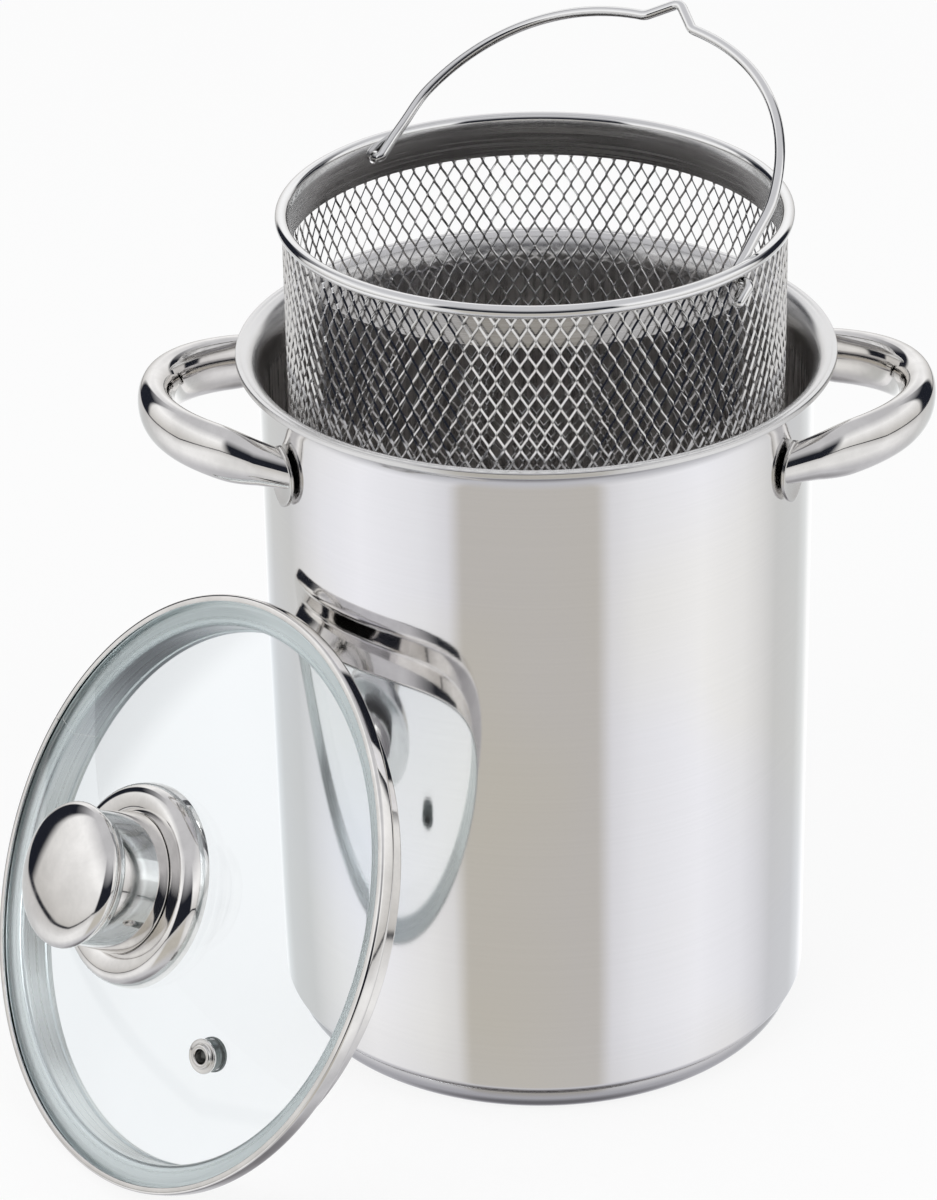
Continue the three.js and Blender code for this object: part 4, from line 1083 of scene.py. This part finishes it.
round_cap = on_lid(turned(cap_profile(), sides=120, ring=False))
make_piece("knob_round_cap", round_cap, mirror_steel, "lid", "polished_steel", "knob_cap",
           crease=KNOB_CREASE)
edge_low = float(dome(DISH_RADIUS)) + FIT_GAP
edge_high = edge_low + DISH_EDGE
hollow_edge = KNOB_FOOT + FIT_GAP
hub_edge = KNOB_FOOT - KNOB_FOOT_SHEET - FIT_GAP
dish_profile = np.vstack([
    (SCREW_RADIUS + FIT_GAP, DISH_SEAT),
    (GASKET_EDGE, DISH_SEAT),
    rounded([(DISH_RADIUS - 3, edge_low + 0.6, 0), (DISH_RADIUS, edge_low, 0.4),
             (DISH_RADIUS, edge_high, 0)], closed=False),
    curve((DISH_RADIUS, edge_high), (DISH_RADIUS - 0.3, HUB_TOP), (CREST_RADIUS, HUB_TOP), steps=16)[1:],
    curve((CREST_RADIUS, HUB_TOP), (KNOB_FOOT + 1.8, HUB_TOP), (hollow_edge, HUB_TOP - 0.7))[1:],
    (hollow_edge, HOLLOW_FLOOR),
    (hub_edge, HOLLOW_FLOOR),
    (hub_edge, HUB_TOP),
    (SCREW_RADIUS + FIT_GAP, HUB_TOP),
])
rolled_dish = on_lid(turned(dish_profile, sides=140))
make_piece("knob_rolled_dish", rolled_dish, mirror_steel, "lid", "polished_steel", "knob_dish",
           crease=KNOB_CREASE)

# %% [markdown]
# ## Washer under the glass
# A gasket keeps the dish off the glass, and a screw from below, through a wide washer, pulls it all
# together. The washer shows through the glass from behind, so it gets a round edge of its own.

# %% Turn the washer
WASHER_RADIUS = 13.0
WASHER_THICKNESS = 1.0
washer_top = float(dome(WASHER_RADIUS)) - GLASS_THICKNESS - FIT_GAP
washer_foot = washer_top - WASHER_THICKNESS
washer = collar(SCREW_RADIUS + FIT_GAP, WASHER_RADIUS, washer_foot, washer_top, foot_round=0.5, sides=80)
make_piece("knob_back_washer", on_lid(washer), wire_steel, "lid", "wire_steel", "knob_washer")

# %% [markdown]
# ## Finishes for the hidden solids
# The heat-spreading disc, the wire in the bead, the insert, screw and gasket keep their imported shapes. They
# still get true finishes, because they show when the lid is seen from below or the basket is lifted.

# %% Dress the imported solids
def grained(name, metallic, stretch, detail, dark, light, roughness):
    """A finish whose colour and roughness follow one grain that is the same in every direction."""
    finish, tree, shader = start_finish(name)
    grain = streaks(tree, (stretch,) * 3, detail)
    set_sockets(tree, shader, {"Base Color": mixed(tree, grain, (*dark, 1), (*light, 1)),
                               "Metallic": metallic, "Roughness": spread(tree, grain, *roughness)})
    return finish


cast_metal = grained("core_aluminium", metallic=1.0, stretch=300.0, detail=6.0, dark=(0.62, 0.63, 0.64),
                     light=(0.76, 0.77, 0.78), roughness=(0.35, 0.55))
silicone = grained("gasket_silicone", metallic=0.0, stretch=900.0, detail=3.0, dark=(0.02, 0.02, 0.021),
                   light=(0.035, 0.035, 0.036), roughness=(0.55, 0.75))
packed_finishes = {
    "base_core": cast_metal,
    "basket_rim_wire": wire_steel,
    "knob_insert": wire_steel,
    "knob_gasket": silicone,
    "knob_screw": wire_steel,
}
for node, finish in packed_finishes.items():
    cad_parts[node].data.materials.clear()
    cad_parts[node].data.materials.append(finish)
print("packed solids dressed:", len(packed_finishes))

# %% [markdown]
# ## Studio
# Polished steel shows the room, so the room decides how it looks: two tall softboxes in front at the sides,
# a dim gap between them behind the camera, dark flags past them, a white sweep behind and a pale table. The
# world draws that room for mirrored rays only, from their direction. Straight and through-glass rays see
# plain white, and the soft light on the floor comes from an even pale sky and two lamps.

# %% World
scene = bpy.context.scene
scene.view_settings.view_transform = "Standard"


def ramp(tree, factor, stops):
    """A colour ramp with given stops of (place, grey or colour)."""
    made = add(tree, "ValToRGB", {"Fac": factor})
    elements = made.color_ramp.elements
    while len(elements) < len(stops):
        elements.new(0.5)
    for element, (place, colour) in zip(elements, stops):
        element.position = place
        element.color = (*(colour if isinstance(colour, tuple) else (colour,) * 3), 1)
    return made.outputs["Color"]


def band_of(tree, value, low, high, soft):
    """1 between low and high and 0 outside, with soft edges."""
    rise = ease(tree, value, low - soft, low + soft)
    fall = ease(tree, value, high + soft, high - soft)
    return math_node(tree, "MULTIPLY", rise, fall)


TABLE_BEIGE = (0.555, 0.53, 0.485)
TABLE_EDGE_SIDE = -0.2
ROOM_TURN = math.radians(3.7)
SOFTBOX_LOW = (0.58, 0.565, 0.55, 1)
SOFTBOX_HIGH = (1.06, 1.06, 1.07, 1)
SOFTBOX_FULL = 0.42
CEILING = (0.62, 0.62, 0.645, 1)
CEILING_RANGE = (0.40, 0.80)
FLAG = (0.015, 0.017, 0.025, 1)
EDGE_RANGE = (0.25, 0.42)
EDGE_SOFT = 0.004
EDGE_LINE = (-0.015, 0.02, 0.008)
FAR_TABLE = (0.62, 0.61, 0.61, 1)
FAR_RANGE = (-0.20, 0.0)
NEAR_TABLE = (0.60, 0.60, 0.63, 1)
NEAR_RANGE = (-0.55, -0.80)
TABLE_FOOT = (0.22, 0.215, 0.23, 1)
FOOT_RANGE = (-0.85, -0.98)
SKY_LIGHT = (0.75, 0.75, 0.76, 1)
table_stops = [(0.0, TABLE_BEIGE), (0.155, TABLE_BEIGE), (0.19, (0.78, 0.775, 0.78)),
               (0.25, (0.87, 0.87, 0.875)), (0.42, (0.975, 0.975, 0.985)), (0.55, (0.89, 0.89, 0.90)),
               (0.62, (0.78, 0.78, 0.79)), (0.68, (0.66, 0.665, 0.67)), (0.80, (0.67, 0.68, 0.685)),
               (0.86, (0.80, 0.82, 0.83)), (0.91, (1.05, 1.06, 1.07)), (1.0, (1.08, 1.08, 1.09))]
softbox_stops = [(0.0, 0.0), (0.21, 0.0), (0.24, 1.0), (0.62, 1.0), (0.65, 0.0), (0.79, 0.0), (0.82, 1.0),
                 (1.0, 1.0)]


def straight_rays(tree):
    """1 for rays that come straight from the camera or through glass."""
    path = add(tree, "LightPath").outputs
    return math_node(tree, "MAXIMUM", path["Is Camera Ray"], path["Is Transmission Ray"])


def studio_world():
    """The room by direction. Its height is the direction's Z, and its share of a half turn from the
    viewer's side is the arctangent of X over -Y, divided by pi. The table's edge drops towards the back."""
    world = bpy.data.worlds.new("studio")
    world.use_nodes = True
    scene.world = world
    tree = world.node_tree
    tree.nodes.clear()
    way = add(tree, "TexCoord").outputs["Generated"]
    part = add(tree, "SeparateXYZ", {"Vector": way}).outputs
    towards = math_node(tree, "MULTIPLY", part["Y"], -1.0)
    azimuth = math_node(tree, "ADD", math_node(tree, "ARCTAN2", part["X"], towards), ROOM_TURN)
    share = math_node(tree, "DIVIDE", math_node(tree, "ABSOLUTE", azimuth), math.pi)
    table = ramp(tree, share, table_stops)
    softboxes = mixed(tree, ease(tree, part["Z"], TABLE_EDGE_SIDE, SOFTBOX_FULL), SOFTBOX_LOW, SOFTBOX_HIGH)
    room = mixed(tree, ramp(tree, share, softbox_stops), FLAG, softboxes)
    room = mixed(tree, ease(tree, part["Z"], *CEILING_RANGE), room, CEILING)
    edge = spread(tree, ease(tree, share, *EDGE_RANGE), 0.0, TABLE_EDGE_SIDE)
    height = math_node(tree, "SUBTRACT", part["Z"], edge)
    table = mixed(tree, ease(tree, height, *FAR_RANGE), table, FAR_TABLE)
    table = mixed(tree, ease(tree, part["Z"], *NEAR_RANGE), table, NEAR_TABLE)
    table = mixed(tree, ease(tree, part["Z"], *FOOT_RANGE), table, TABLE_FOOT)
    mirrored = mixed(tree, ease(tree, height, -EDGE_SOFT, EDGE_SOFT), table, room)
    mirrored = mixed(tree, band_of(tree, height, *EDGE_LINE), mirrored, FLAG)
    plain = mixed(tree, straight_rays(tree), SKY_LIGHT, WHITE)
    seen = mixed(tree, add(tree, "LightPath").outputs["Is Glossy Ray"], plain, mirrored)
    light = add(tree, "Background", {"Color": seen, "Strength": 1.0})
    add(tree, "OutputWorld", {"Surface": light.outputs["Background"]})


studio_world()
print("world nodes:", len(scene.world.node_tree.nodes))

# %% [markdown]
# ## Floor and lamps
# The floor is one large square of white paper. Lit like any paper it would come out grey, so straight rays
# see mostly plain white mixed with the lit paper, and a light shadow stays under the pot. Mirrored rays
# pass through the floor to the world's table. Two soft lamps give that shadow its direction.

# %% Floor and lamps
FLOOR_SIZE = 12.0
FLOOR_WHITENESS = 0.86
PAPER_TONES = ((0.88, 0.88, 0.88, 1), (0.90, 0.90, 0.90, 1))
PAPER_ROUGHNESS = 0.9
PAPER_GRAIN = (80.0, 80.0, 80.0)
LAMP_TARGET = np.array((0.0, 0.0, 0.12))


def floor_finish():
    """White paper. Straight and through-glass rays see mostly plain white with a light shadow."""
    finish, tree, shader = start_finish("floor_paper")
    grain = streaks(tree, PAPER_GRAIN)
    set_sockets(tree, shader, {"Base Color": mixed(tree, grain, *PAPER_TONES),
                               "Roughness": PAPER_ROUGHNESS, "Specular IOR Level": 0.0})
    white = add(tree, "Emission", {"Color": WHITE, "Strength": 1.0})
    share = math_node(tree, "MULTIPLY", straight_rays(tree), FLOOR_WHITENESS)
    lit = add(tree, "MixShader", {0: share, 1: shader.outputs["BSDF"], 2: white.outputs["Emission"]})
    set_sockets(tree, tree.nodes["Material Output"], {"Surface": lit.outputs["Shader"]})
    return finish


floor_mesh = bpy.data.meshes.new("floor")
floor_corners = FLOOR_SIZE / 2 * np.array([(-1, -1, 0), (1, -1, 0), (1, 1, 0), (-1, 1, 0)])
floor_mesh.from_pydata(floor_corners.tolist(), [], [(0, 1, 2, 3)])
floor_mesh.materials.append(floor_finish())
floor = bpy.data.objects.new("floor", floor_mesh)
floor.visible_glossy = False
scene.collection.objects.link(floor)


def looking(aim):
    """The turn that points a lamp's or camera's -Z along a direction, with its top towards +Z."""
    back = unit(-aim)
    right = unit(np.cross(UP, back))
    top = np.cross(back, right)
    return Matrix(np.stack([right, top, back], -1).tolist()).to_4x4()


def soft_lamp(name, place, size, power):
    """A square lamp that looks at the pot. Mirrored rays don't see it: the world draws the softboxes."""
    data = bpy.data.lights.new(name, "AREA")
    data.shape = "SQUARE"
    data.size = size
    data.energy = power
    lamp = bpy.data.objects.new(name, data)
    lamp.matrix_world = Matrix.Translation(place) @ looking(LAMP_TARGET - place)
    lamp.visible_glossy = False
    scene.collection.objects.link(lamp)


soft_lamp("lamp_left", (-1.1, -1.2, 1.5), size=1.0, power=9.0)
soft_lamp("lamp_right", (1.2, -0.9, 1.4), size=1.0, power=7.0)
print("studio ready")

# %% [markdown]
# ## Camera
# The camera stands at the photograph's view: in front, about 1.3 metres off, looking down at the rim. Its
# place and turn were fitted to the rim, base and handles. A long lens gives the flat perspective.

# %% Camera
IMAGE_WIDTH = 937
FOCAL_PIXELS = 4329.95
SENSOR_WIDTH = 36.0
CAMERA_PLACE = (0.0, -1.14383, 0.72774)
CAMERA_YAW = -0.0182
CAMERA_PITCH = 0.4805
CAMERA_ROLL = -0.0183

ahead = math.cos(CAMERA_PITCH) * heading(math.pi / 2 - CAMERA_YAW) - math.sin(CAMERA_PITCH) * UP
camera_data = bpy.data.cameras.new("camera")
camera_data.sensor_fit = "HORIZONTAL"
camera_data.sensor_width = SENSOR_WIDTH
camera_data.lens = FOCAL_PIXELS * SENSOR_WIDTH / IMAGE_WIDTH
camera_data.clip_end = 50.0
camera = bpy.data.objects.new("camera", camera_data)
roll = Matrix.Rotation(CAMERA_ROLL, 4, "Z")
camera.matrix_world = Matrix.Translation(CAMERA_PLACE) @ looking(ahead) @ roll
scene.collection.objects.link(camera)
scene.camera = camera
print("lens", round(camera_data.lens, 2), "mm")
